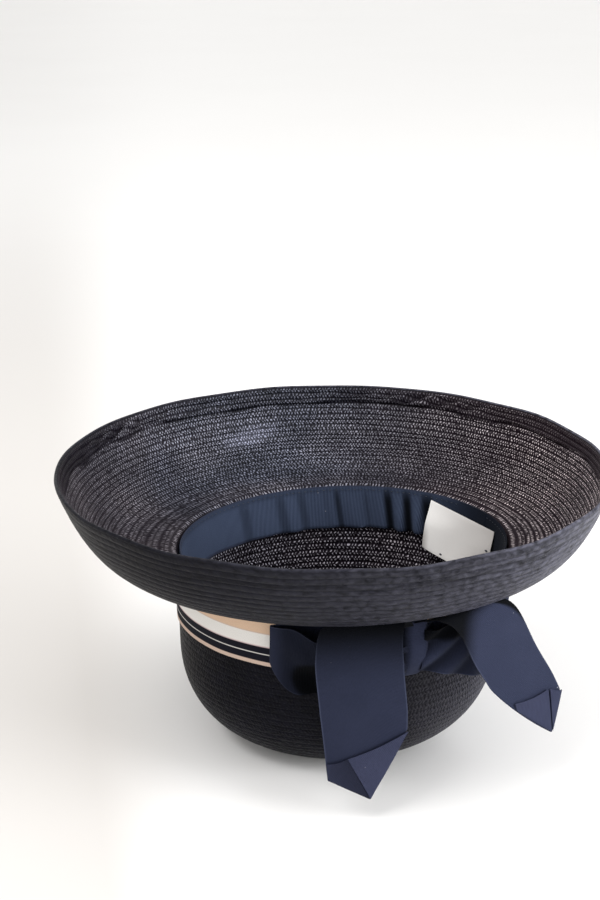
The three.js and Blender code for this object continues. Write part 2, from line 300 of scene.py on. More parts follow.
class Value:
    """A number that varies over a surface or the sky: operators on it add Math nodes to its tree."""

    def __init__(self, shader: "Nodes", socket: bpy.types.NodeSocket) -> None:
        """Wraps a socket of a node tree."""
        self.shader = shader
        self.socket = socket

    def __add__(self, other: Number) -> "Value":
        """The sum."""
        return self.shader.math("ADD", self, other)

    __radd__ = __add__

    def __sub__(self, other: Number) -> "Value":
        """The difference."""
        return self.shader.math("SUBTRACT", self, other)

    def __rsub__(self, other: Number) -> "Value":
        """The difference the other way round."""
        return self.shader.math("SUBTRACT", other, self)

    def __mul__(self, other: Number) -> "Value":
        """The product."""
        return self.shader.math("MULTIPLY", self, other)

    __rmul__ = __mul__

    def __truediv__(self, other: Number) -> "Value":
        """The quotient."""
        return self.shader.math("DIVIDE", self, other)

    def __pow__(self, other: Number) -> "Value":
        """The power."""
        return self.shader.math("POWER", self, other)

    def floor(self) -> "Value":
        """The whole number below."""
        return self.shader.math("FLOOR", self)

    def round(self) -> "Value":
        """The nearest whole number."""
        return self.shader.math("ROUND", self)

    def sine(self, waves: float = 1.0) -> "Value":
        """Sine of the number taken as turns, times a count of waves."""
        return self.shader.math("SINE", self * (TURN * waves))

    def size(self) -> "Value":
        """The number without its sign."""
        return self.shader.math("ABSOLUTE", self)

    def step(self, low: float, high: float) -> "Value":
        """A smooth step from 0 at low to 1 at high."""
        inputs = {"Value": self, "From Min": low, "From Max": high}
        return self.shader.value("ShaderNodeMapRange", {"interpolation_type": "SMOOTHSTEP"}, inputs)


class Nodes:
    """A node tree and the ways to add to it."""

    def __init__(self, tree: bpy.types.NodeTree) -> None:
        """Wraps a material's or a world's tree."""
        self.tree = tree

    def node(
        self,
        kind: str,
        settings: Optional[dict[str, Any]] = None,
        inputs: Optional[dict[Union[str, int], Any]] = None,
    ) -> bpy.types.Node:
        """Adds a node.

        Args:
            kind: The node's type.
            settings: Its properties, or "stops" with places and colours for a ramp. They are set first.
            inputs: Values or links for its sockets, by name or number.

        Returns:
            The node.
        """
        node = self.tree.nodes.new(kind)
        for key, value in (settings or {}).items():
            if key == "stops":
                self._set_stops(node.color_ramp, value)
            else:
                setattr(node, key, value)
        for key, value in (inputs or {}).items():
            self.plug(node.inputs[key], value)
        return node

    @staticmethod
    def _set_stops(ramp: bpy.types.ColorRamp, stops: list[tuple[float, Colour]]) -> None:
        """Gives a ramp its places and colours."""
        while len(ramp.elements) < len(stops):
            ramp.elements.new(1.0)
        for element, (place, colour) in zip(ramp.elements, stops):
            element.position = place
            element.color = (*colour, 1.0)

    def plug(self, socket: bpy.types.NodeSocket, value: Any) -> None:
        """Links a value to a socket, or sets a plain number or colour on it."""
        if isinstance(value, Value):
            value = value.socket
        if isinstance(value, bpy.types.NodeSocket):
            self.tree.links.new(value, socket)
        elif socket.type == "RGBA":
            socket.default_value = (*value, 1.0)
        else:
            socket.default_value = value

    def value(
        self,
        kind: str,
        settings: Optional[dict[str, Any]] = None,
        inputs: Optional[dict[Union[str, int], Any]] = None,
        output: Union[str, int] = 0,
    ) -> Value:
        """Adds a node and gives one of its outputs as a number."""
        return Value(self, self.node(kind, settings, inputs).outputs[output])

    def math(self, operation: str, *values: Number) -> Value:
        """Adds a Math node on the values."""
        return self.value("ShaderNodeMath", {"operation": operation}, dict(enumerate(values)))


class Shader(Nodes):
    """A node material with one Principled surface."""

    def __init__(self, name: str) -> None:
        """Starts an empty material of that name."""
        self.material = bpy.data.materials.new(name)
        self.material.use_nodes = True
        super().__init__(self.material.node_tree)
        self.tree.nodes.clear()
        self.surface = self.node("ShaderNodeBsdfPrincipled")
        self.node("ShaderNodeOutputMaterial", inputs={"Surface": self.surface.outputs[0]})

    def place(self) -> tuple[Value, Value]:
        """The two numbers of the piece's own pattern map."""
        pattern = self.node("ShaderNodeUVMap", {"uv_map": "pattern"})
        parts = self.node("ShaderNodeSeparateXYZ", inputs={0: pattern.outputs[0]})
        return Value(self, parts.outputs[0]), Value(self, parts.outputs[1])

    def mark(self, name: str) -> Value:
        """One of the piece's own marks at a point."""
        return self.value("ShaderNodeAttribute", {"attribute_name": name}, output="Fac")

    def noise(self, vector: Link, scale: float, detail: float = 2.0) -> Value:
        """Cloudy noise, about 0.2 to 0.8, on a vector."""
        return self.value("ShaderNodeTexNoise", inputs={"Vector": vector, "Scale": scale, "Detail": detail})

    def vector(self, x: Number, y: Number) -> bpy.types.NodeSocket:
        """A flat vector from two numbers."""
        return self.node("ShaderNodeCombineXYZ", inputs={0: x, 1: y}).outputs[0]

    def where(self) -> bpy.types.NodeSocket:
        """The point in the part's frame, in metres."""
        return self.node("ShaderNodeTexCoord").outputs["Object"]

    def mix(self, share: Number, low: Any, high: Any) -> bpy.types.NodeSocket:
        """The colour at a share of the way from one to the other."""
        settings = {"data_type": "RGBA", "clamp_factor": True}
        return self.node("ShaderNodeMix", settings, {0: share, 6: low, 7: high}).outputs[2]

    def dress(
        self, inputs: dict[str, Any], height: Optional[Value] = None, depth: float = 0.0
    ) -> bpy.types.Material:
        """Sets the surface's sockets, and a relief where there is one.

        Args:
            inputs: Values or links by socket name.
            height: The relief, from 0 to 1.
            depth: The relief's depth in metres.

        Returns:
            The finished material.
        """
        for key, value in inputs.items():
            self.plug(self.surface.inputs[key], value)
        if height is not None:
            bump = self.node("ShaderNodeBump", inputs={"Strength": 1.0, "Distance": depth, "Height": height})
            self.plug(self.surface.inputs["Normal"], bump.outputs[0])
        return self.material


@dataclass(frozen=True)
class HighlightPatch:
    """A painted highlight: a soft bright patch on rows of straw.

    turn and row are its middle, turn_reach and row_reach its size, and slant its rise in rows a turn. tint
    is how far it turns the painted light on the weave to the bright colour, and lift how much more of it
    shows.
    """

    turn: float
    row: float
    turn_reach: float
    row_reach: float
    slant: float
    tint: float = 0.55
    lift: float = 0.075


@dataclass(frozen=True)
class StrawFinish:
    """Dyed straw plait: lanes of strands that cross in each row.

    The tone mark is above 0 inside the hat, where the weave is painted with glints and with light that shines
    through it, and below 0 outside, where the strands are fuzzy and paler, more so on the side that the
    window lamp lights, which is painted light. The warmth mark turns both from cool to warm. The groove mark
    turns the painted light inside from an even net with dark holes into bright dots on rows with dark seams,
    and the fuzzy strands outside from blotches into beads.

    The scales of patch, cloud and sway count noise cells in a metre. dash, blotch and slub are noises that
    follow the strands, squeezed along them and across the rows by the two numbers.
    """

    strand_dark: Colour = (0.0010, 0.0010, 0.0026)
    strand_light: Colour = (0.0052, 0.0053, 0.0112)
    # Strands inside, warmed where painted light shines through them
    strand_backlit: Colour = (0.0125, 0.0065, 0.0098)
    # Colours of the painted glints and of the light painted as shining through the weave inside
    painted_light_cool: Colour = (0.318, 0.338, 0.442)
    painted_light_warm: Colour = (0.80, 0.69, 0.70)
    # Colours of the fuzzy strands outside; on the crown the warm one also gives the painted floor reflection
    fuzz_cool: Colour = (0.112, 0.112, 0.150)
    fuzz_warm: Colour = (0.10, 0.09, 0.065)
    # Colour of the painted highlight patch
    bright: Colour = (0.50, 0.52, 0.70)
    patch_scale: float = 17.0
    cloud_scale: float = 60.0
    sway_scale: float = 240.0
    cell_scale: float = 1.3
    dash: tuple[float, float] = (0.8, 3.7)
    blotch: tuple[float, float] = (0.5, 1.1)
    slub: tuple[float, float] = (0.16, 0.9)
    lanes: int = 2
    strand_lean: float = 0.5
    strand_sway: float = 1.6
    ground: float = 0.22
    shine: float = 0.08
    roughness: float = 0.45
    coat: float = 0.35
    depth: float = 0.0006

    def material(self, name: str, plaits: Array, gloss: Optional[HighlightPatch] = None) -> bpy.types.Material:
        """The finish on rows whose pattern map holds the share of a turn and the row number.

        Args:
            name: The material's name.
            plaits: Polynomial, highest power first, of the strands in a turn against the row number.
            gloss: A painted highlight patch, if there is one.

        Returns:
            The material.
        """
        shader = Shader(name)
        turn, row = shader.place()
        tone = shader.mark("tone")
        groove = shader.mark("groove")
        where = shader.where()
        patch = shader.noise(where, self.patch_scale)
        cloud = shader.noise(where, self.cloud_scale)
        sway = shader.noise(where, self.sway_scale, 1.0)
        warmth = shader.mark("warmth") + patch * 0.5 - 0.25
        # A whole number of strands goes round each row, and they lean out from its middle
        whole = row.floor()
        across = row - whole
        count: Number = float(plaits[0])
        for term in plaits[1:]:
            count = whole * count + float(term)
        along = turn * count.round() + (across - 0.5).size() * self.strand_lean + sway * self.strand_sway
        lane = across.sine(self.lanes / 2.0)
        weave = along.sine() * lane
        ridge = (across * (1.0 - across) * 4.0) ** 0.5
        # Noises that follow the strands
        cell = shader.noise(shader.vector(along, row * float(self.lanes)), self.cell_scale, 1.0)
        dashed = shader.vector(along * self.dash[0], (row * float(self.lanes)).floor() * self.dash[1])
        dash = shader.noise(dashed, 1.0, 1.0)
        blotch = shader.noise(shader.vector(along * self.blotch[0], row * self.blotch[1]), 1.0, 1.0)
        slub = shader.noise(shader.vector(along * self.slub[0], row * self.slub[1]), 1.0)
        # Inside: painted light on the weave, a net with holes where there is little groove, and dots on the
        # ridges where there is much
        inner = tone.step(0.0, 0.15)
        hole = (weave * -1.0).step(0.0, 0.65) * cell.step(0.15, 0.45)
        net = (1.0 - hole * 0.85) * (cell * 0.8 + slub * 0.5 + 0.1) * self.ground
        merged = (1.0 - groove) * 0.5
        dot = (weave + merged).step(0.2, 0.88) * cell.step(0.32, 0.6) * (groove * 0.8 + 0.5)
        rows = 1.0 - groove * (1.0 - ridge.step(0.55, 1.0))
        shown = (net * (1.05 - groove) + dot) * rows * (patch + cloud - 0.1) * tone.step(0.0, 1.0)
        # The strands themselves, warmed inside by painted light through them, and outside their fuzzy
        # surface, paler where painted as lit
        uneven = cell * 0.6 + cloud * 0.6 + slub * 0.6 + dash * 0.8 - 1.1
        plain = shader.mix(uneven, self.strand_dark, self.strand_light)
        strand = shader.mix(warmth * inner * 0.8, plain, self.strand_backlit)
        mottled = (blotch * 1.9 + cloud * 0.5 + cell * 0.4 - 0.8) * (ridge * 0.6 + 0.4)
        pitted = (1.0 - hole * 0.9) * (cell + 0.35) * (ridge * 0.6 + 0.4) + weave.step(0.2, 0.9) * 0.25
        fuzz_and_light = (tone * -1.0).step(0.0, 1.0) * (mottled + groove * (pitted - mottled))
        furred = shader.mix(fuzz_and_light, strand, shader.mix(warmth, self.fuzz_cool, self.fuzz_warm))
        painted_light = shader.mix(warmth, self.painted_light_cool, self.painted_light_warm)
        # A painted highlight patch on the weave
        if gloss is not None:
            aside = (turn - gloss.turn) / gloss.turn_reach
            above = (row - gloss.row - (turn - gloss.turn) * gloss.slant) / gloss.row_reach
            spot = 1.0 - (aside * aside + above * above).step(0.0, 1.0)
            painted_light = shader.mix(spot * gloss.tint, painted_light, self.bright)
            shown = shown + spot * inner * gloss.lift
        inputs = {
            "Base Color": shader.mix(shown, furred, painted_light),
            "Roughness": cell * 0.25 + (self.roughness - 0.12),
            "Specular IOR Level": self.shine,
            "Coat Weight": shown * self.coat,
            "Coat Roughness": 0.35,
        }
        # Relief: strands and rows inside, blotches or beads outside
        inside = ridge * (weave * 0.35 + groove * 0.35 + 0.15)
        blotched = ridge * 0.35 + blotch * 0.7
        beaded = (weave.step(-0.3, 0.7) * 0.5 + ridge * 0.7) * (blotch * 2.0 - 0.4) + cell * 0.5
        outside = blotched + groove * (beaded - blotched)
        relief = outside + inner * (inside - outside) + cell * 0.3 + slub * 0.1
        return shader.dress(inputs, relief, self.depth)


@dataclass(frozen=True)
class RibbonFinish:
    """Matt ribbon with fine ribs across it, a painted highlight along its edges and a little lint. The tone
    mark paints shade into folds, hollows and the parts that lie in shadow.

    rib is the ribs' width in millimetres, and edge_highlight_reach is where the edge highlight fades, in
    millimetres from the edge. lint_cells is the number of places for lint in a metre. A place has some, of
    the size lint_size, where its random number from 0 to 1 is above lint_above.
    """

    dark: Colour = (0.0088, 0.0113, 0.0225)
    light: Colour = (0.0252, 0.0295, 0.056)
    # Colour of the painted highlight along the edges
    edge: Colour = (0.042, 0.049, 0.083)
    # Colour of the painted shade
    painted_shade: Colour = (0.0007, 0.001, 0.0019)
    lint: Colour = (0.45, 0.45, 0.48)
    rib: float = 0.9
    rib_shade: float = 0.05
    yarn_scale: float = 2.2
    cloud_scale: float = 26.0
    edge_highlight_reach: tuple[float, float] = (0.35, 0.9)
    lint_cells: float = 210.0
    lint_size: tuple[float, float] = (0.04, 0.09)
    lint_above: tuple[float, float] = (0.955, 0.97)
    shine: float = 0.05
    sheen: float = 0.02
    roughness: float = 0.8
    depth: float = 0.00012

    def material(self, name: str, width: float) -> bpy.types.Material:
        """The finish on a ribbon whose pattern map holds millimetres across and along it.

        Args:
            name: The material's name.
            width: The ribbon's width in millimetres.

        Returns:
            The material.
        """
        shader = Shader(name)
        across, along = shader.place()
        where = shader.where()
        ribs = (along / self.rib).sine()
        yarn = shader.noise(shader.vector(across * 1.5, along * 0.25), self.yarn_scale)
        cloud = shader.noise(where, self.cloud_scale)
        shade = ribs * self.rib_shade + yarn * 0.5 + cloud * 0.6 - 0.05
        body = shader.mix(shade, self.dark, self.light)
        rim = 0.5 * width - (across - 0.5 * width).size()
        # Lighter along both edges: a painted highlight
        edge_highlighted = shader.mix((1.0 - rim.step(*self.edge_highlight_reach)) * 0.7, body, self.edge)
        speck = shader.node("ShaderNodeTexVoronoi", inputs={"Vector": where, "Scale": self.lint_cells})
        pick = shader.node("ShaderNodeSeparateColor", inputs={0: speck.outputs["Color"]})
        near = 1.0 - Value(shader, speck.outputs["Distance"]).step(*self.lint_size)
        few = Value(shader, pick.outputs[0]).step(*self.lint_above)
        linted = shader.mix(near * few * 0.7, edge_highlighted, self.lint)
        inputs = {
            # Painted shade where the tone mark says the ribbon lies in shadow
            "Base Color": shader.mix(shader.mark("tone"), linted, self.painted_shade),
            "Roughness": yarn * 0.2 + (self.roughness - 0.1),
            "Specular IOR Level": self.shine,
            "Sheen Weight": self.sheen,
            "Sheen Roughness": 0.4,
        }
        return shader.dress(inputs, ribs * 0.4 + yarn * 0.5 + 0.3, self.depth)


@dataclass(frozen=True)
class StripeFinish:
    """Woven ribbon with stripes along it, which blur into each other over a fraction of a millimetre."""

    sand: Colour = (0.68, 0.485, 0.345)
    trim: Colour = (0.59, 0.45, 0.37)
    white: Colour = (0.79, 0.768, 0.735)
    blush: Colour = (0.66, 0.52, 0.52)
    navy: Colour = (0.006, 0.0062, 0.0115)
    blur: float = 0.18
    rib: float = 0.55
    rib_shade: float = 0.08
    yarn_scale: float = 2.0
    yarn_shade: float = 0.1
    shine: float = 0.06
    depth: float = 0.0001

    def stripes(self) -> tuple[tuple[float, Colour], ...]:
        """Where each stripe starts, in millimetres from the edge at the crown's tip, and its colour."""
        return (
            (0.0, self.trim),
            (2.4, self.navy),
            (6.9, self.white),
            (7.4, self.navy),
            (11.6, self.blush),
            (12.3, self.white),
            (19.9, self.trim),
            (20.5, self.sand),
        )

    def material(self, name: str, width: float) -> bpy.types.Material:
        """The finish on a band whose pattern map holds millimetres across and along it.

        Args:
            name: The material's name.
            width: The band's width in millimetres.

        Returns:
            The material.
        """
        stripes = self.stripes()
        stops = [stripes[0]]
        for (_, before), (start, after) in zip(stripes, stripes[1:]):
            stops += [((start - self.blur) / width, before), ((start + self.blur) / width, after)]
        shader = Shader(name)
        across, along = shader.place()
        ribs = (along / self.rib).sine()
        yarn = shader.noise(shader.vector(across * 0.6, along * 1.4), self.yarn_scale)
        ramp = shader.node("ShaderNodeValToRGB", {"stops": stops}, {0: across / width})
        shade = (ribs * 0.5 + 0.5) * self.rib_shade + yarn.step(0.35, 0.75) * self.yarn_shade
        colour = shader.mix(shade, ramp.outputs[0], self.navy)
        inputs = {"Base Color": colour, "Roughness": yarn * 0.2 + 0.55, "Specular IOR Level": self.shine}
        return shader.dress(inputs, ribs * 0.4 + yarn * 0.4 + 0.3, self.depth)


@dataclass(frozen=True)
class SatinFinish:
    """White satin with a fine lengthwise weave. The tone marks where it turns from the light."""

    bright: Colour = (0.95, 0.935, 0.915)
    shaded: Colour = (0.83, 0.81, 0.78)
    dim: Colour = (0.40, 0.375, 0.36)
    yarn_scale: float = 1.6
    cloud_scale: float = 60.0
    thread: float = 0.45
    shine: float = 0.3
    sheen: float = 0.2
    depth: float = 0.00006

    def material(self, name: str) -> bpy.types.Material:
        """The finish on a piece whose pattern map holds millimetres across and along it."""
        shader = Shader(name)
        across, along = shader.place()
        yarn = shader.noise(shader.vector(across * 0.25, along * 3.0), self.yarn_scale)
        cloud = shader.noise(shader.where(), self.cloud_scale)
        colour = shader.mix(yarn * 0.5 + cloud * 0.4 - 0.15, self.bright, self.shaded)
        inputs = {
            "Base Color": shader.mix(shader.mark("tone"), colour, self.dim),
            "Roughness": yarn * 0.25 + 0.3,
            "Specular IOR Level": self.shine,
            "Sheen Weight": self.sheen,
        }
        return shader.dress(inputs, yarn + (along / self.thread).sine() * 0.2, self.depth)


@dataclass(frozen=True)
class ThreadFinish:
    """Twisted sewing thread, with a few turns of the twist in each stitch."""

    dark: Colour = (0.008, 0.009, 0.014)
    light: Colour = (0.04, 0.043, 0.06)
    turns: float = 3.0
    depth: float = 0.0001

    def material(self, name: str) -> bpy.types.Material:
        """The finish on threads whose pattern map runs round and along each stitch."""
        shader = Shader(name)
        around, along = shader.place()
        twist = (around + along * self.turns).sine() * 0.5 + 0.5
        colour = shader.mix(twist, self.dark, self.light)
        return shader.dress({"Base Color": colour, "Roughness": twist * 0.2 + 0.5}, twist, self.depth)


@dataclass(frozen=True)
class HeadForm:
    """The oval of the head opening and the crown's outer face, in millimetres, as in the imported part."""

    half_length: float = 98.0
    half_width: float = 85.0
    centre_x: float = 4.0
    headline: float = 120.5
    slope: float = 0.028
    bend: float = 4.0
    wall: float = 1.6
    taper: float = 0.055
    corner_height: float = 61.0
    corner_power: float = 2.36
    tip_share: float = 0.31

    def headline_height(self, angle: Array) -> Array:
        """Height of the headline, which slopes up to the back."""
        return self.headline + self.slope * self.half_length * np.cos(angle)

    def oval(self, angle: Array, share: Any, z: Any, centre_x: Any) -> Array:
        """Points of a level oval at a share of the head opening's size."""
        x = centre_x + self.half_length * share * np.cos(angle)
        return as_points(x, self.half_width * share * np.sin(angle), z)

    def outward(self, angle: Array) -> Array:
        """Level unit normals of the head opening's oval."""
        return unit(as_points(np.cos(angle) / self.half_length, np.sin(angle) / self.half_width, 0.0))

    def crown_share(self, z: Array) -> Array:
        """Share of the head opening's size at a height: a superellipse corner below a tapering wall."""
        wall = 1.0 - self.taper * (1.0 - z / self.headline)
        drop = np.clip(1.0 - z / self.corner_height, 0.0, 1.0)
        corner = (1.0 - drop**self.corner_power) ** (1.0 / self.corner_power)
        return lerp(self.tip_share, wall, corner)

    def crown_point(self, angle: Array, z: Array) -> Array:
        """Points of the crown's outer face, stretched near the brim to meet the sloping headline."""
        rise = smoothstep(z, 0.5 * self.corner_height, self.headline)
        level = z + rise * (self.headline_height(angle) - self.headline)
        return self.oval(angle, self.crown_share(z), level, self.centre_x * z / self.headline)

    def arc(self, angle: Array) -> Array:
        """Length of the head opening's oval for each radian."""
        return np.hypot(self.half_length * np.sin(angle), self.half_width * np.cos(angle))

    def girth(self, samples: int = 720) -> float:
        """Length all round the head opening's oval."""
        return TURN * float(self.arc(np.linspace(0.0, TURN, samples, endpoint=False)).mean())


@dataclass(frozen=True)
class Rows:
    """Rows of sewn plait: each bulges between two seams, a little more towards its lower seam.

    samples are the places of the mesh's rows in a row of plait. Each wander is a slow wave that moves a row
    from its even place: its size in rows, its waves in a turn, and its shift from row to row.
    """

    pitch: float = 4.3
    bulge: float = 0.45
    skew: float = 0.8
    roundness: float = 0.6
    samples: tuple[float, ...] = (0.0, 0.13, 0.36, 0.62, 0.87)
    wanders: tuple[tuple[float, float, float], ...] = ((0.06, 5.0, 1.7), (0.05, 11.0, -2.3))

    def places(self, rows: int) -> Array:
        """Row numbers of the mesh's rows, as a column: several in each row of plait, and the last seam."""
        inside = np.add.outer(np.arange(rows), np.array(self.samples)).ravel()
        return np.append(inside, rows)[:, None]

    def hollow(self, place: Array) -> Array:
        """How far the face lies under a row's highest line: the whole bulge at a seam, none in the middle."""
        across = np.mod(place, 1.0)
        return self.bulge * (1.0 - np.sin(math.pi * across**self.skew) ** self.roundness)

    def drift(self, place: Array, angle: Array) -> Array:
        """How far a row wanders from its even place, in rows: the sum of its waves."""
        return sum(size * np.sin(waves * angle + shift * place) for size, waves, shift in self.wanders)


@dataclass(frozen=True)
class Shade:
    """Looks of the straw at one direction round the hat.

    shown and warmth are how much painted light the weave inside shows, as glints and as light through it,
    and how warm that is; groove is how far its grooves sink. fuzz is the paleness of the fuzzy strands
    outside, partly painted light on the side that the window lamp lights.
    """

    degrees: float
    shown: float
    warmth: float
    groove: float
    fuzz_and_light: float


def look_round(shades: tuple[Shade, ...], name: str, angle: Array) -> Array:
    """One look at each angle, in straight lines between the directions of the table."""
    degrees = [shade.degrees for shade in shades]
    values = [getattr(shade, name) for shade in shades]
    return np.interp(np.degrees(angle), degrees, values, period=360.0)


STRAW_MARKS = ("tone", "warmth", "groove")


@dataclass
class Face:
    """Rows of one face of a straw shell: its points, its row numbers as a column, and its three marks."""

    points: Array
    place: Array
    tone: Any
    warmth: Any = 0.0
    groove: Any = 0.0

    def mark(self, name: str) -> Array:
        """One of the marks, at every point."""
        return np.broadcast_to(getattr(self, name), self.points.shape[:2])

    def turned(self) -> "Face":
        """The same face with its rows in the other order."""
        marks = {name: self.mark(name)[::-1] for name in STRAW_MARKS}
        return Face(self.points[::-1], self.place[::-1], **marks)


def straw_grid(angle: Array, faces: list[Face], joined_rows: bool = False) -> Grid:
    """The shell of a straw wall.

    Args:
        angle: Angles as a row, the same for every face.
        faces: Its faces, in the order in which a line round the wall crosses them.
        joined_rows: Whether the last row repeats the first.

    Returns:
        The grid. Its pattern map holds the share of a turn and the row number.
    """
    uv = [as_places(angle / TURN, face.place) for face in faces]
    return Grid(
        np.concatenate([face.points for face in faces]),
        np.concatenate(uv),
        joined_rows=joined_rows,
        joined_columns=True,
        marks={name: np.concatenate([face.mark(name) for face in faces]) for name in STRAW_MARKS},
    )


@dataclass
class Crown:
    """The crown: rows of plait from the middle of the flat tip round the corner and up the wall."""

    form: HeadForm
    rows: Rows
    finish: StrawFinish
    top: float = 116.4
    columns: int = 208
    plait: float = 2.2
    plait_power: int = 4
    mean_half: float = 91.5
    outer_bulge: float = 0.26
    inner_groove: float = 0.9
    samples: int = 901
    shades: tuple[Shade, ...] = (
        Shade(0.0, 1.00, 0.55, 1.00, 0.52),
        Shade(90.0, 1.00, 0.38, 1.00, 0.25),
        Shade(150.0, 1.00, 0.25, 1.00, 0.15),
        Shade(185.0, 1.00, 0.20, 1.00, 0.24),
        Shade(225.0, 1.00, 0.20, 1.00, 0.06),
        Shade(280.0, 1.00, 0.35, 1.00, 0.06),
        Shade(315.0, 1.00, 0.50, 1.00, 0.52),
    )

    def __post_init__(self) -> None:
        """Measures the profile, so that rows are of even width along it."""
        self.way = np.linspace(0.0, 3.0, self.samples)
        self.run = lengths_along(self.surface(SIDE, self.way))
        self.row_count = round(self.run[-1] / self.rows.pitch)

    def surface(self, angle: Array, way: Array) -> Array:
        """Points outside: way is 0 to 1 over the flat tip, to 2 round the corner and to 3 up the wall."""
        form = self.form
        tip = form.oval(angle, form.tip_share * np.clip(way, 0.0, 1.0), 0.0, 0.0)
        corner = form.corner_height * (1.0 - np.cos(np.clip(way - 1.0, 0.0, 1.0) * math.pi / 2))
        wall = lerp(form.corner_height, self.top, np.clip(way - 2.0, 0.0, 1.0))
        sides = form.crown_point(angle, np.where(way < 2.0, corner, wall))
        return np.where((way < 1.0)[..., None], tip, sides)

    def way_at(self, place: Array) -> Array:
        """The way along the profile at row numbers."""
        return np.interp(place / self.row_count * self.run[-1], self.run, self.way)

    def plaits(self) -> Array:
        """Polynomial of the strands in a turn against the row number: a row's girth over a strand's width."""
        numbers = np.arange(self.row_count)
        reach = self.surface(SIDE, self.way_at(numbers + 0.5))[:, 1] / self.form.half_width
        return np.polyfit(numbers, TURN * self.mean_half * reach / self.plait, self.plait_power)

    def build(self) -> bpy.types.Object:
        """Makes the shell: outer rows up from the tip, then inner rows back down, each with its bulges."""
        angle = turn_angles(self.columns)
        place = self.rows.places(self.row_count)
        steady = np.sin(math.pi * place / self.row_count)
        base = self.surface(angle, self.way_at(place + self.rows.drift(place, angle) * steady))
        normals = ring_normals(base, -1)
        normals[:2] = (0.0, 0.0, -1.0)
        hollow = self.rows.hollow(place)[..., None]
        shown, warmth, groove, fuzz_and_light = (
            look_round(self.shades, name, angle) for name in ("shown", "warmth", "groove", "fuzz_and_light")
        )
        # A painted reflection of the warm floor on the crown's outside, strongest at the hat's front
        olive = 0.5 - 0.5 * np.cos(angle)
        outer = Face(base - normals * hollow * self.outer_bulge, place, -fuzz_and_light, olive, groove)
        inner_points = base - normals * (self.form.wall - hollow)
        inner = Face(inner_points, place, shown, warmth, self.inner_groove * groove)
        grid = straw_grid(angle, [outer, inner.turned()])
        material = self.finish.material("straw_crown", self.plaits())
        return add_piece("crown_plait", [grid], material, ("crown",))


@dataclass(frozen=True)
class HemMarks:
    """Where the brim's hem lies: each array is 1 in its place and 0 away from it.

    inside is the turned hem, gathered is its middle, crevice is the line where it is sewn down, and calm is
    all of the brim but its two ends.
    """

    inside: Array
    gathered: Array
    crevice: Array
    calm: Array


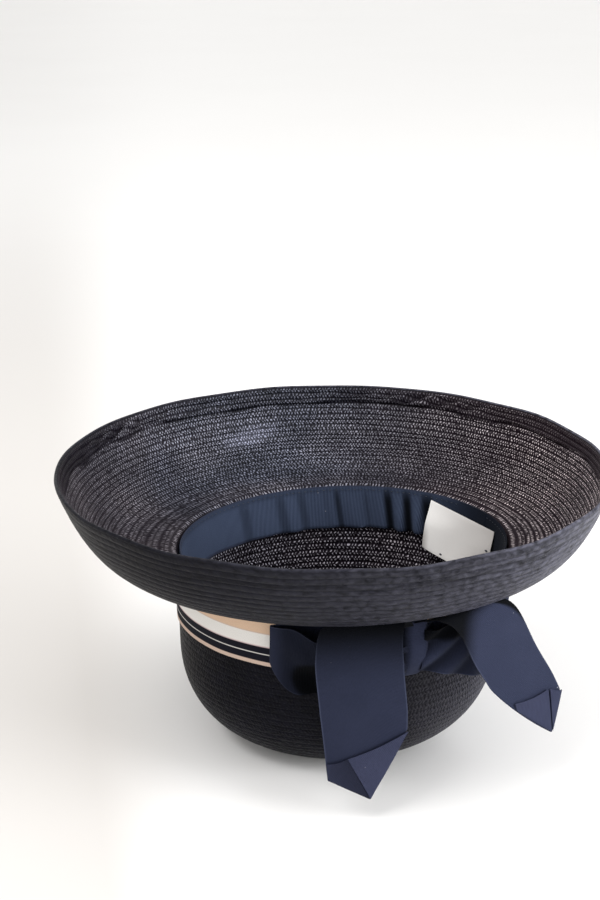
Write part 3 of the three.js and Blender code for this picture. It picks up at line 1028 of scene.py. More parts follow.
@dataclass
class Brim:
    """The brim: it bends out of the headline, flares like a bell and ends in a turned, puckered hem.

    Its seams inside lie at seam_runs, in millimetres from the headline, for the row numbers in seam_rows.
    Widths of marks are in millimetres, and in radians round the hat.
    """

    form: HeadForm
    rows: Rows
    finish: StrawFinish
    rim_half_length: float = 160.0
    rim_half_width: float = 146.0
    rim_centre_x: float = -2.6
    rim_height: float = 169.0
    rim_slope: float = 0.007
    rim_wave: float = 0.6
    rim_waves: Wave = Wave(61, 5, 18)
    power: float = 3.7
    hem: float = 11.5
    hem_wander: float = 1.9
    hem_waves: Wave = Wave(5, 6, 26)
    hem_wall: float = 2.8
    thinnest: float = 0.9
    fold_waves: Wave = Wave(11, 22, 60)
    fold_slant: float = 0.05
    fold_most: float = 1.5
    gather_waves: Wave = Wave(23, 3, 9)
    gathers: tuple[float, float] = (2.5, 0.35)
    pucker_shift: float = 1.4
    pucker_depth: float = 0.9
    crevice: tuple[float, float] = (-0.6, 0.9)
    crevice_outside: float = 0.25
    crevice_inside: float = 0.3
    crevice_breaks: Wave = Wave(71, 9, 40)
    outer_bulge: float = 0.45
    edge_steps: int = 8
    edge_fuzz: float = 0.08
    columns: int = 400
    samples: int = 801
    plait: float = 2.05
    plait_power: int = 2
    seam_rows: tuple[float, ...] = (0.0, 2.0, 3.0, 4.0, 5.0, 6.0, 7.0, 8.0, 10.0, 12.0, 14.0, 18.0, 22.0)
    seam_runs: tuple[float, ...] = (
        0.0, 11.5, 18.4, 24.6, 29.8, 34.2, 38.1, 41.6, 48.0, 53.9, 60.3, 75.4, 89.6
    )
    throat: tuple[float, float] = (5.0, 2.2)
    throat_shown: float = 0.62
    outer_half: tuple[float, float] = (8.0, 30.0)
    inner_half_shown: float = 0.78
    hem_shown: tuple[float, float] = (0.71, 0.36)
    hem_right: tuple[float, float] = (0.2, 0.8)
    hem_right_dark: float = 0.76
    hem_left: tuple[float, float] = (math.radians(175.0), 0.35)
    hem_left_dark: float = 0.73
    gloss: HighlightPatch = HighlightPatch(0.309, 13.8, 0.027, 2.3, -50.0)
    shades: tuple[Shade, ...] = (
        Shade(0.0, 1.00, 0.90, 1.00, 0.95),
        Shade(40.0, 0.98, 0.85, 1.00, 0.80),
        Shade(58.0, 0.56, 0.55, 0.82, 0.60),
        Shade(72.0, 0.48, 0.25, 0.62, 0.55),
        Shade(92.0, 0.65, 0.10, 0.52, 0.50),
        Shade(112.0, 0.69, 0.00, 0.50, 0.40),
        Shade(138.0, 0.61, 0.10, 0.58, 0.30),
        Shade(160.0, 0.47, 0.36, 0.62, 0.20),
        Shade(185.0, 0.44, 0.55, 0.70, 0.02),
        Shade(230.0, 0.62, 0.60, 0.75, 0.06),
        Shade(262.0, 0.66, 0.50, 0.75, 0.23),
        Shade(290.0, 0.74, 0.60, 0.85, 0.39),
        Shade(312.0, 0.85, 0.75, 0.95, 0.56),
        Shade(335.0, 0.90, 0.85, 1.00, 0.80),
    )

    def __post_init__(self) -> None:
        """Measures the profile, so that rows are of even width along it."""
        self.way = np.linspace(-1.0, 1.0, self.samples)
        self.run = lengths_along(self.surface(SIDE, self.way))
        self.length = float(self.run[-1])
        self.row_count = round(self.length / self.rows.pitch)
        self.roll = 0.5 * self.hem_wall

    def surface(self, angle: Array, way: Array) -> Array:
        """Points outside: way is -1 to 0 on the headline's quarter bend, then 0 to 1 out to the edge."""
        form = self.form
        height = form.headline_height(angle)
        turn = np.clip(1.0 + way, 0.0, 1.0) * math.pi / 2
        share = 1.0 + form.bend / form.half_length * (1.0 - np.cos(turn))
        bend = form.oval(angle, share, height - form.bend * (1.0 - np.sin(turn)), form.centre_x)
        out = np.clip(way, 0.0, 1.0)
        edge_height = self.rim_height + self.rim_slope * self.rim_half_length * np.cos(angle)
        start = form.oval(angle, 1.0 + form.bend / form.half_length, height, form.centre_x)
        x = lerp(start[..., 0], self.rim_centre_x + self.rim_half_length * np.cos(angle), out)
        y = lerp(start[..., 1], self.rim_half_width * np.sin(angle), out)
        slope = as_points(x, y, lerp(height, edge_height, out**self.power))
        return np.where((way < 0.0)[..., None], bend, slope)

    def hem_marks(self, angle: Array, run: Array) -> HemMarks:
        """Marks the hem at angles as a row and at runs, in millimetres from the headline, as a column."""
        to_edge = self.length - run
        past_hem = self.hem + self.hem_wander * self.hem_waves.at(angle) - to_edge
        return HemMarks(
            inside=smoothstep(past_hem, -0.5, 0.5),
            gathered=smoothstep(past_hem, -0.5, 4.0) * smoothstep(to_edge, self.roll, 4.0 * self.roll),
            crevice=hump(past_hem, *self.crevice),
            calm=smoothstep(to_edge, self.roll, 3.0 * self.roll) * smoothstep(run, 0.0, self.rows.pitch),
        )

    def drift(self, angle: Array, place: Array, hem: HemMarks) -> Array:
        """How far rows wander from their even place, in millimetres: not at all at the brim's two ends."""
        return self.rows.drift(place, angle) * self.rows.pitch * hem.calm

    def face(self, angle: Array, run: Array, shift: Array) -> Array:
        """Points of the outer face at shifted runs, with the wavy rise that grows towards the edge."""
        wave = self.rim_wave * self.rim_waves.at(angle) * smoothstep(run, 0.4 * self.length, self.length)
        return self.surface(angle, np.interp(run + shift, self.run, self.way)) + as_points(0.0, 0.0, wave)

    def looks(self, angle: Array, run: Array, hem: HemMarks, pucker: Array) -> tuple[Array, Array, Array]:
        """Painted light on the weave inside, as glints and as light through it, its warmth and the grooves:
        less of it near the throat and in the hem.

        Args:
            angle: Angles as a row.
            run: Millimetres out from the headline, as a column.
            hem: Where the hem lies.
            pucker: The hem's puckers, about -1 to 1.

        Returns:
            Three arrays with a value for each point.
        """
        throat = hump(run, *self.throat)
        outer_half = smoothstep(run, *self.outer_half)
        right = hump(np.mod(angle + math.pi, TURN) - math.pi, *self.hem_right)
        left = hump(angle, *self.hem_left)
        level, swing = self.hem_shown
        hem_shown = level + swing * np.clip(pucker, -1.3, 1.0)
        hem_shown = hem_shown * (1.0 - self.hem_right_dark * right) * (1.0 - self.hem_left_dark * left)
        shown = look_round(self.shades, "shown", angle) * lerp(self.inner_half_shown, 1.0, outer_half)
        shown = np.maximum(shown, self.throat_shown * throat) * lerp(1.0, hem_shown, hem.inside)
        # Painted shade along the hem's crevice, broken in places, and at the very throat
        broken = smoothstep(self.crevice_breaks.at(angle), -0.9, 0.5)
        shown = shown * (1.0 - 0.85 * hem.crevice * broken) * smoothstep(run, 1.5, 3.5)
        warmth = look_round(self.shades, "warmth", angle)
        warmth = lerp(np.maximum(warmth, 0.2), warmth, outer_half)
        groove = look_round(self.shades, "groove", angle)
        groove = np.maximum(lerp(np.maximum(groove, 0.4), groove, outer_half), 0.6 * hem.inside)
        return shown, warmth, groove

    def outer_face(self, angle: Array) -> tuple[Face, Array]:
        """The face outside, from the headline to the edge, and the way it points there."""
        place = self.rows.places(self.row_count)
        run = place / self.row_count * (self.length - self.roll)
        hem = self.hem_marks(angle, run)
        base = self.face(angle, run, self.drift(angle, place, hem))
        sunk = self.rows.hollow(place) * self.outer_bulge + self.crevice_outside * hem.crevice
        points = base - ring_normals(base, 0) * sunk[..., None]
        # Fuzzy strands by direction, partly painted light on the side the window lamp lights, with painted
        # shade along the hem's crevice
        fuzz_and_light = look_round(self.shades, "fuzz_and_light", angle) * (1.0 - 0.5 * hem.crevice)
        return Face(points, place, -fuzz_and_light), unit(base[-1:] - base[-2:-1])

    def inner_face(self, angle: Array) -> Face:
        """The face inside, from the headline to the edge, with its proud hem and the folds in it."""
        place = self.rows.places(round(self.seam_rows[-1]))
        seams = np.interp(place, self.seam_rows, self.seam_runs)
        run = seams / self.seam_runs[-1] * (self.length - self.roll)
        hem = self.hem_marks(angle, run)
        gather = smoothstep(self.gather_waves.at(angle), -0.2, 0.6)
        gather = np.maximum(gather, hump(angle, *self.gathers))
        fold = self.fold_waves.at(angle + self.fold_slant * place)
        fold = np.clip(fold, -self.fold_most, self.fold_most) * gather
        pucker = fold * hem.inside * hem.calm
        drift = self.drift(angle, place, hem)
        base = self.face(angle, run, drift + self.pucker_shift * fold * hem.gathered)
        thick = lerp(self.form.wall, self.hem_wall, hem.inside) + self.pucker_depth * pucker
        thick = thick - self.crevice_inside * hem.crevice
        thick = np.maximum(thick - self.rows.hollow(place), self.thinnest)
        points = base - ring_normals(self.face(angle, run, drift), 0) * thick[..., None]
        return Face(points, place, *self.looks(angle, run, hem, pucker))

    def edge_face(self, outer: Face, inner: Face, ahead: Array) -> Face:
        """The rolled edge: a half circle of rows from the outer face's last row to the inner one's."""
        bend = np.linspace(0.0, math.pi, self.edge_steps)[1:-1, None, None]
        middle = 0.5 * (outer.points[-1:] + inner.points[-1:])
        spoke = outer.points[-1:] - middle
        points = middle + spoke * np.cos(bend) + ahead * self.roll * np.sin(bend)
        place = self.row_count + np.linspace(0.1, 0.9, self.edge_steps - 2)[:, None]
        return Face(points, place, outer.tone[-1:] - self.edge_fuzz)

    def plaits(self) -> Array:
        """Polynomial of the strands in a turn against the row number: a row's girth over a strand's width."""
        numbers = np.arange(round(self.seam_rows[-1]))
        ways = np.interp(np.interp(numbers + 0.5, self.seam_rows, self.seam_runs), self.run, self.way)
        wider = 0.5 * (self.rim_half_length - self.rim_half_width)
        girth = TURN * (self.surface(SIDE, ways)[:, 1] + wider)
        return np.polyfit(numbers, girth / self.plait, self.plait_power)

    def build(self) -> bpy.types.Object:
        """Makes the shell: outer rows, the rolled edge, inner rows back, and the first row again."""
        angle = turn_angles(self.columns)
        outer, ahead = self.outer_face(angle)
        inner = self.inner_face(angle)
        edge = self.edge_face(outer, inner, ahead)
        start = Face(outer.points[:1], outer.place[:1], outer.tone[:1])
        grid = straw_grid(angle, [outer, edge, inner.turned(), start], joined_rows=True)
        material = self.finish.material("straw_brim", self.plaits(), self.gloss)
        return add_piece("brim_plait", [grid], material, ("brim",))


def band_grid(
    form: HeadForm, angle: Array, height: Array, near: Array, far: Array, tone: Array, lip: float = 0.25
) -> Grid:
    """A band of cloth on the crown's wall, with a face on each side and rounded edges.

    Args:
        form: The head form that it follows.
        angle: Angles as a row.
        height: Heights on the wall as rows, for each angle.
        near: Distance of the first face out from the wall.
        far: Distance of the other face.
        tone: The pattern's tone for each point.
        lip: How far the rounded edges stand over.

    Returns:
        The closed band. Its pattern map holds millimetres across it and along it.
    """
    wall = form.crown_point(angle, height)
    normals = ring_normals(wall, 0)
    first, between, second = (
        wall + normals * np.broadcast_to(out, wall.shape[:2])[..., None]
        for out in (near, 0.5 * (near + far), far)
    )
    over = lip * unit(wall[-1:] - wall[-2:-1])
    rows = [first, between[-1:] + over, second[::-1], between[:1] - over, first[:1]]
    uv = as_places(np.abs(height - height[0]), angle / TURN * form.girth())
    uvs, tones = (np.concatenate([one, one[-1:], one[::-1], one[:1], one[:1]]) for one in (uv, tone))
    return Grid(np.concatenate(rows), uvs, joined_rows=True, joined_columns=True, marks={"tone": tones})


@dataclass
class HatBand:
    """The striped ribbon round the outside of the crown, under the brim."""

    form: HeadForm
    finish: StripeFinish
    top: float = 5.5
    width: float = 35.5
    gap: float = 0.3
    thick: float = 0.8
    slack: float = 0.22
    slack_waves: Wave = Wave(31, 5, 22)
    columns: int = 240
    row_count: int = 15

    def build(self) -> bpy.types.Object:
        """Makes the band from its edge at the crown's tip up to the brim, slightly slack between stitches."""
        angle = turn_angles(self.columns)
        share = np.linspace(1.0, 0.0, self.row_count)[:, None]
        height = self.form.headline - self.top - self.width * share + 0.0 * angle
        slack = self.slack * (1.0 + self.slack_waves.at(angle)) * share**2
        length = self.form.girth()
        grid = band_grid(self.form, angle, height, self.gap, self.gap + self.thick + slack, 0.0 * slack)
        material = self.finish.material("striped_ribbon", self.width)
        piece = add_piece("hat_band_ribbon", [grid], material, ("hat_band",))
        return piece


@dataclass(frozen=True)
class Bell:
    """A bell along the inner band: its middle and half width in degrees, and its height."""

    middle: float
    half: float
    height: float

    def at(self, degrees: Array, power: int = 2) -> Array:
        """The bell at each direction. A higher power has a flatter top."""
        return self.height * hump(degrees, self.middle, self.half, power)


@dataclass
class SweatBand:
    """The ribbed ribbon inside the crown, sewn in at the headline, with soft folds at its free lower edge.

    The heights of the folds are in millimetres, and those of the valleys and of dark_end are tones of painted
    shade. The free edge lies higher by tilt at the direction tilt_at, and lower across from it. lean is how
    far folds run aside on their way down. seam, tilt_at, lean, overlap_start and overlap_fade are in degrees.
    """

    form: HeadForm
    finish: RibbonFinish
    thread: ThreadFinish
    rise: float = 1.0
    width: float = 28.5
    gap: float = 0.3
    thick: float = 0.8
    slack: float = 0.35
    slack_waves: Wave = Wave(41, 6, 30)
    tilt: float = 2.3
    tilt_at: float = 20.0
    columns: int = 600
    row_count: int = 13
    seam: float = 22.0
    overlap: float = 0.5
    overlap_start: float = 0.6
    overlap_fade: tuple[float, float] = (12.0, 20.0)
    stitches: int = 150
    stitch_drop: float = 2.2
    stitch_length: float = 1.5
    stitch_radius: float = 0.22
    lean: float = -3.2
    flat_top: int = 4
    top_shade: float = 0.5
    dark_end: Bell = Bell(6.0, 46.0, 0.9)
    folds: tuple[Bell, ...] = (
        Bell(60.0, 2.4, 4.6),
        Bell(67.5, 2.4, 4.4),
        Bell(75.0, 2.6, 1.6),
        Bell(86.0, 3.2, 1.8),
        Bell(97.0, 3.0, 1.2),
        Bell(110.0, 3.4, 1.6),
        Bell(121.0, 4.0, 1.2),
        Bell(134.0, 5.0, 0.9),
        Bell(205.0, 6.0, 1.2),
        Bell(250.0, 5.0, 1.4),
        Bell(310.0, 6.0, 1.0),
    )
    valleys: tuple[Bell, ...] = (
        Bell(55.0, 3.2, 0.97),
        Bell(64.0, 2.0, 0.98),
        Bell(71.8, 1.9, 0.97),
        Bell(80.5, 1.0, 0.45),
        Bell(91.5, 1.3, 0.75),
        Bell(96.0, 1.6, 0.3),
        Bell(105.5, 1.8, 0.45),
        Bell(114.0, 2.0, 0.4),
        Bell(130.0, 2.4, 0.35),
        Bell(74.0, 30.0, 0.2),
    )

    def stand(self, angle: Array, share: Array) -> Array:
        """How far folds stand in from the wall: leaning bells along the band that grow to the free edge."""
        degrees = np.degrees(angle) - self.lean * share
        total = self.slack * (1.0 + self.slack_waves.at(angle)) * share
        for fold in self.folds:
            total = total + fold.at(degrees) * smoothstep(share, 0.05, 0.9)
        return total

    def shade(self, angle: Array, share: Array) -> Array:
        """Painted shade on the band: at its seam, in the valleys beside its folds and behind the label."""
        degrees = np.degrees(angle) - self.lean * share
        total = self.top_shade * (1.0 - smoothstep(share, 0.0, 0.2)) + 0.0 * angle
        for valley in self.valleys:
            total = np.maximum(total, valley.at(degrees, self.flat_top) * smoothstep(share, -0.3, 0.35))
        apart = np.mod(degrees - self.dark_end.middle + 180.0, 360.0) - 180.0
        return np.maximum(total, replace(self.dark_end, middle=0.0).at(apart, self.flat_top))

    def build(self) -> bpy.types.Object:
        """Makes the band and its row of stitches along the upper edge."""
        angle = turn_angles(self.columns)
        share = np.linspace(0.0, 1.0, self.row_count)[:, None]
        low = self.tilt * np.cos(angle - math.radians(self.tilt_at))
        height = self.form.headline + self.rise - self.width * share + low * share
        near = -(self.form.wall + self.gap) - self.stand(angle, share)
        degrees = np.degrees(angle)
        fade_from, fade_to = self.overlap_fade
        overlap = self.overlap * smoothstep(degrees, self.seam, self.seam + self.overlap_start)
        overlap = overlap * (1.0 - smoothstep(degrees, self.seam + fade_from, self.seam + fade_to))
        length = self.form.girth()
        far = near - self.thick - overlap
        grid = band_grid(self.form, angle, height, near, far, self.shade(angle, share))
        material = self.finish.material("sweatband_ribbon", self.width)
        piece = add_piece("sweatband_ribbon", [grid], material, ("sweatband",))
        self.stitch()
        return piece

    def stitch(self) -> bpy.types.Object:
        """Sews the upper edge down: short stitches along the band, a little under its edge."""
        form = self.form
        angle = np.linspace(0.0, TURN, self.stitches, endpoint=False)
        height = np.full(self.stitches, form.headline + self.rise - self.stitch_drop)
        share = np.full(self.stitches, self.stitch_drop / self.width)
        inset = form.wall + self.gap + self.thick + self.stand(angle, share)
        centre = form.crown_point(angle, height) - form.outward(angle) * inset[:, None]
        along = unit(as_points(-np.sin(angle) * form.half_length, np.cos(angle) * form.half_width, 0.0))
        material = self.thread.material("sewing_thread")
        grids = stitch_grids(centre, along, self.stitch_length, self.stitch_radius)
        return add_piece("sweatband_stitches", grids, material)


def stitch_grids(
    centres: Array, along: Array, length: float, radius: float, rows: int = 5, columns: int = 6
) -> list[Grid]:
    """Stitches as short spindles: circles of sine-shaped size along each stitch's direction.

    Args:
        centres: Middles of the stitches, in millimetres.
        along: Unit directions.
        length: Length of a stitch.
        radius: Largest radius.
        rows: Circles in a stitch.
        columns: Points round each circle.

    Returns:
        One closed grid for each stitch.
    """
    share = np.linspace(0.0, 1.0, rows)[:, None]
    around = turn_angles(columns)
    size = radius * np.sin(math.pi * share) ** 0.6
    # A little off the upright, so that a stitch that points up has a side too
    side = unit(np.cross(along, UP + 1e-3))
    up = np.cross(side, along)
    uv = as_places(around / TURN, share)
    parts = (((share - 0.5) * length, along), (size * np.cos(around), side), (size * np.sin(around), up))
    offsets = sum(amount[None, ..., None] * way[:, None, None] for amount, way in parts)
    return [Grid(points, uv, joined_columns=True) for points in centres[:, None, None] + offsets]


def ribbon_grid(points: Array, thick: float, across: Array, along: Array, tone: Array) -> Grid:
    """A closed strip of cloth from its middle surface: a face to each side that meet at the edges and ends.

    Args:
        points: Rows along the ribbon, columns across it.
        thick: The cloth's thickness.
        across: Millimetres across, for each point.
        along: Millimetres along, for each point.
        tone: The pattern's tone, for each point.

    Returns:
        The strip. Its pattern map holds millimetres across and along.
    """
    half = np.full((points.shape[0], 1, 1), 0.5 * thick)
    half[[0, -1]] = 0.0
    rise = strip_normals(points) * half
    uv = as_places(across, along)
    tone = np.broadcast_to(tone, points.shape[:2])
    faces = ((points + rise, points - rise), (uv, uv), (tone, tone))
    loop, uvs, tones = (
        np.concatenate([front, back[:, ::-1], front[:, :1]], axis=1) for front, back in faces
    )
    return Grid(loop, uvs, joined_columns=True, marks={"tone": tones})


def cloth_area(points: Array) -> float:
    """Area in square metres of a strip's middle surface: half the cross product of each face's diagonals."""
    first = points[1:, 1:] - points[:-1, :-1]
    second = points[1:, :-1] - points[:-1, 1:]
    return 0.5 * float(np.linalg.norm(np.cross(first, second), axis=-1).sum()) * MM * MM


def steps_on(
    surface: Callable[[Array, Array], Array], side: Array, down: Array, step: float
) -> tuple[Array, Array, Array]:
    """Points of a surface at shares across and down it, and its small steps across and down from there."""
    base = surface(side, down)
    return base, surface(side + step, down) - base, surface(side, down + step) - base


@dataclass
class Label:
    """The bare satin label that hangs flat inside the crown, tacked at two places.

    Angles are in degrees. waves are those across and down the label, and where they start, in turns. The
    reaches of the curl and of the shades, and the places of the tacks, are shares across and down.
    """

    form: HeadForm
    finish: SatinFinish
    thread: ThreadFinish
    left_angle: float = 52.5
    right_angle: float = 13.0
    top: float = 2.5
    drop: float = 2.6
    height: float = 30.5
    inset: float = 3.7
    tilt: float = 2.4
    lean: float = 2.2
    bulge: float = 4.0
    wave: float = 0.9
    waves: tuple[float, float, float] = (1.25, 0.35, -0.1)
    curl: float = 1.4
    curl_reach: float = 0.16
    thick: float = 0.35
    rows: int = 25
    columns: int = 41
    right_shade: float = 0.9
    right_power: float = 0.8
    left_shade: float = 0.8
    left_reach: float = 0.09
    tacks: tuple[tuple[float, float], ...] = ((0.32, 0.93), (0.95, 0.42))
    tack_lift: float = 0.3
    tack_across: tuple[float, float] = (2.6, 0.55)
    tack_aslant: tuple[float, float] = (1.8, 0.5)

    def corner(self, degrees: float, drop: float) -> Array:
        """A top corner, just off the inner band's face."""
        angle = np.array(math.radians(degrees))
        wall = self.form.crown_point(angle, np.array(self.form.headline - self.top - drop))
        return wall - self.form.outward(angle) * self.inset

    def surface(self, side: Array, down: Array) -> Array:
        """Points at shares across and down: a straight top, leaning in below, with a curl at the left."""
        left = self.corner(self.left_angle, 0.0)
        right = self.corner(self.right_angle, self.drop)
        inwards = unit(np.cross(right - left, UP))
        lean = self.lean * (1.0 - side) * down**2 + self.bulge * np.sin(math.pi * side) * down
        lean = lean + self.tilt * down
        waves_across, waves_down, start = self.waves
        wave = self.wave * (1.0 + np.sin(TURN * (waves_across * side + waves_down * down + start)))
        wave = wave * smoothstep(down, 0.0, 0.5)
        curl = self.curl * hump(side, 0.0, self.curl_reach) * np.sin(math.pi * down) + wave
        base = lerp(left, right, np.broadcast_arrays(side, down)[0][..., None])
        return base + (lean + curl)[..., None] * inwards - as_points(0.0, 0.0, self.height * down)

    def build(self) -> bpy.types.Object:
        """Makes the label and its two tacks."""
        side = np.linspace(0.0, 1.0, self.columns)[None, :]
        down = np.linspace(0.0, 1.0, self.rows)[:, None]
        points = self.surface(side, down)
        width = float(np.linalg.norm(points[0, -1] - points[0, 0]))
        at_left = self.left_shade * hump(side, 0.0, self.left_reach) * smoothstep(down, 0.35, 0.8)
        tone = np.maximum(self.right_shade * side**self.right_power, at_left)
        grid = ribbon_grid(points, self.thick, side * width, down * self.height, tone)
        piece = add_piece("label_satin", [grid], self.finish.material("white_satin"), ("label",))
        self.tack()
        return piece

    def tack(self) -> bpy.types.Object:
        """Sews the label down: two crossing stitches at each tack."""
        sides, downs = (np.array(values) for values in zip(*self.tacks))
        place, across, below = steps_on(self.surface, sides, downs, 0.01)
        centre = place - unit(np.cross(across, below)) * self.tack_lift
        material = self.thread.material("tack_thread")
        grids = stitch_grids(centre, unit(across), *self.tack_across)
        grids += stitch_grids(centre, unit(below + across), *self.tack_aslant)
        return add_piece("label_tacks", grids, material)


@dataclass(frozen=True)
class Station:
    """A point of a tail's middle line, half the width there, and its turn and rise in degrees."""

    x: float
    y: float
    z: float
    half: float
    turn: float
    rise: float


@dataclass(frozen=True)
class Mitre:
    """A tail's pointed end, in shares across and along the tail.

    tip is the share across of the point; left and right are the shares along where its two edges start.
    bulge is the power of the left edge's curve: 1 is straight and less is fuller. left_flap and right_flap
    are the corners folded over: the two ends of the free edge, then the two ends of the folded edge.
    left_shade is how dark the left flap is beside the right one.
    """

    tip: float
    left: float
    right: float
    left_flap: tuple[tuple[float, float], ...]
    right_flap: tuple[tuple[float, float], ...]
    bulge: float = 1.0
    left_shade: float = 0.0


FRONT_STATIONS = (
    Station(33.0, -95.0, 111.9, 7.0, 18.0, 0.0),
    Station(20.0, -101.5, 119.4, 17.0, 6.0, 0.0),
    Station(11.5, -107.5, 117.6, 22.0, 3.0, 0.0),
    Station(10.2, -109.0, 98.0, 23.5, 2.0, 0.0),
    Station(12.9, -108.0, 68.0, 23.5, 2.0, 2.0),
    Station(14.7, -107.0, 38.0, 22.0, 4.0, 3.0),
    Station(15.6, -107.0, 13.5, 20.5, 6.0, 3.0),
)
BACK_STATIONS = (
    Station(47.0, -88.5, 113.0, 8.0, 22.0, 0.0),
    Station(60.0, -92.5, 119.2, 16.0, 33.0, 0.0),
    Station(70.5, -89.5, 120.0, 22.5, 40.0, 0.0),
    Station(80.5, -85.0, 111.0, 23.0, 41.0, 0.0),
    Station(91.5, -81.0, 88.0, 23.5, 38.0, -4.0),
    Station(103.5, -78.5, 66.0, 24.0, 36.0, -8.0),
    Station(113.5, -80.0, 38.0, 25.5, 35.0, -10.0),
)
FRONT_MITRE = Mitre(
    tip=0.54,
    left=0.9,
    right=0.73,
    left_flap=((0.0, 0.83), (0.27, 0.815), (0.0, 0.9), (0.53, 0.995)),
    right_flap=((0.275, 0.815), (1.0, 0.735), (0.545, 0.995), (1.0, 0.74)),
    left_shade=0.62,
)
BACK_MITRE = Mitre(
    tip=0.66,
    left=0.8,
    right=0.87,
    left_flap=((0.24, 0.875), (0.80, 0.85), (0.25, 0.905), (0.65, 0.995)),
    right_flap=((0.83, 0.85), (1.0, 0.865), (0.67, 0.995), (1.0, 0.872)),
    bulge=0.65,
)


@dataclass
class Tail:
    """A free ribbon end that leaves the knot, turns over and hangs, with a mitred, folded tip.

    shaded are the shares along between which the brim's shade fades, later by shaded_left at the left edge.
    curl and curl_from are the slope and the start of painted shade at the right, where the edge curls over.
    flap_turns turn the ribs on the two flaps, in radians, and flap_run is the length in millimetres that the
    ribs count along the tail.
    """

    name: str
    stations: tuple[Station, ...]
    mitre: Mitre
    shaded: tuple[float, float]
    shaded_left: float = 0.0
    shade: float = 0.985
    curl: float = 0.0
    curl_from: float = 0.45
    curl_edge: tuple[float, float] = (-0.02, 0.05)
    cup: float = 0.9
    cup_from: tuple[float, float] = (0.3, 0.6)
    thick: float = 0.6
    ribbon: float = 47.0
    rows: int = 90
    columns: int = 49
    flap_rows: int = 17
    flap_columns: int = 25
    flap_turns: tuple[float, float] = (1.1, -1.0)
    flap_run: float = 150.0
    flap_bow: float = 0.005
    flap_gap: float = 0.15
    flap_lift: float = 0.9
    flap_belly: float = 0.3

    def surface(self, across: Array, share: Array) -> Array:
        """Points at shares across and along: a smooth middle line, plus the width vector of the stations."""
        table = np.array([(s.x, s.y, s.z, s.half, s.turn, s.rise) for s in self.stations])
        last = len(table) - 1
        place = np.clip(share, 0.0, 1.0) * last
        before = np.clip(np.floor(place).astype(int), 0, last - 1)
        t = (place - before)[..., None]
        line = table[:, :3]
        # A cubic through the points, with one more point added past each end
        more = np.vstack([2.0 * line[0] - line[1], line, 2.0 * line[-1] - line[-2]])
        a, b, c, d = (more[before + i] for i in range(4))
        square = 2.0 * a - 5.0 * b + 4.0 * c - d
        cube = 3.0 * b - a - 3.0 * c + d
        middle = b + 0.5 * ((c - a) * t + square * t**2 + cube * t**3)
        half, turn, rise = (np.interp(place, np.arange(last + 1), table[:, i]) for i in (3, 4, 5))
        turn, rise = np.radians(turn), np.radians(rise)
        width = as_points(np.cos(turn), np.sin(turn), np.sin(rise))
        cup = self.cup * np.sin(math.pi * across) * smoothstep(share, *self.cup_from)
        return middle + width * (2.0 * half * (across - 0.5))[..., None] - as_points(0.0, cup, 0.0)

    def end(self, across: Array) -> Array:
        """Share along the tail where the cloth ends: two edges that meet in the tip."""
        mitre = self.mitre
        left = lerp(mitre.left, 1.0, (across / mitre.tip) ** mitre.bulge)
        right = lerp(1.0, mitre.right, (across - mitre.tip) / (1.0 - mitre.tip))
        return np.where(across < mitre.tip, left, right)

    def flap(self, corners: tuple[tuple[float, float], ...], slant: float, dark: float = 0.0) -> Grid:
        """A folded-over corner: a patch between its free edge and its folded edge, laid on the ribbon's face.

        Args:
            corners: Two ends of the free edge, then two ends of the folded edge, as shares across and along.
            slant: Turn of the ribs on the flap, in radians.
            dark: The tone of painted shade at the flap's right end, from which it fades to a half at its left
                end.

        Returns:
            The flap, which lifts a little along its free edge.
        """
        free_from, free_to, fold_from, fold_to = (np.array(corner) for corner in corners)
        side = np.linspace(0.0, 1.0, self.flap_columns)[None, :, None]
        down = np.linspace(0.0, 1.0, self.flap_rows)[:, None, None]
        bow = np.array([0.0, self.flap_bow]) * np.sin(math.pi * side)
        place = lerp(lerp(free_from, free_to, side) + bow, lerp(fold_from, fold_to, side), down)
        base, right, below = steps_on(self.surface, place[..., 0], place[..., 1], 1e-3)
        outward = unit(np.cross(right, below))
        outward = outward * np.where(outward[..., 1:2] < 0.0, 1.0, -1.0)
        loose = 1.0 - down
        lift = self.thick + self.flap_gap + self.flap_lift * loose**2
        lift = lift + self.flap_belly * np.sin(math.pi * side) * loose
        x = place[..., 0] * self.ribbon
        y = place[..., 1] * self.flap_run
        along = x * math.sin(slant) + y * math.cos(slant)
        tone = dark * lerp(0.5, 1.0, side[..., 0])
        # The pattern stays away from the painted highlight along the ribbon's edges
        return ribbon_grid(base + outward * lift, self.thick, 0.3 * self.ribbon + 0.2 * x, along, tone)

    def build(
        self, material: bpy.types.Material, reverse: bpy.types.Material, knot: bpy.types.Object
    ) -> bpy.types.Object:
        """Makes the tail and its two flaps, which show the ribbon's reverse.

        Args:
            material: The ribbon's finish.
            reverse: The finish of its other side.
            knot: The piece that the tail leaves; not used.

        Returns:
            The tail's object.
        """
        across = np.linspace(0.0, 1.0, self.columns)[None, :]
        share = np.linspace(0.0, 1.0, self.rows)[:, None] * self.end(across)
        points = self.surface(across, share)
        along = lengths_along(points)
        # Painted shade under the brim, reaching lower at the left edge, and on the curl of the right edge
        later = self.shaded_left * (1.0 - across) ** 2
        under_brim = self.shade * (1.0 - smoothstep(share - later, *self.shaded))
        curl_shade = smoothstep(self.curl * (across - self.curl_from) - share, *self.curl_edge)
        tone = np.maximum(under_brim, curl_shade)
        grid = ribbon_grid(points, self.thick, across * self.ribbon, along, tone)
        name = f"{self.name}_ribbon"
        piece = add_piece(name, [grid], material, (self.name,))
        left_turn, right_turn = self.flap_turns
        left = self.flap(self.mitre.left_flap, left_turn, self.mitre.left_shade)
        grids = [left, self.flap(self.mitre.right_flap, right_turn)]
        flaps = add_piece(f"{self.name}_flaps", grids, reverse)
        cloth_area(points)
        return piece


def squared(values: Array, power: float) -> Array:
    """The values with their size at a power: those of a circle become those of a rounded square."""
    return np.sign(values) * np.abs(values) ** power


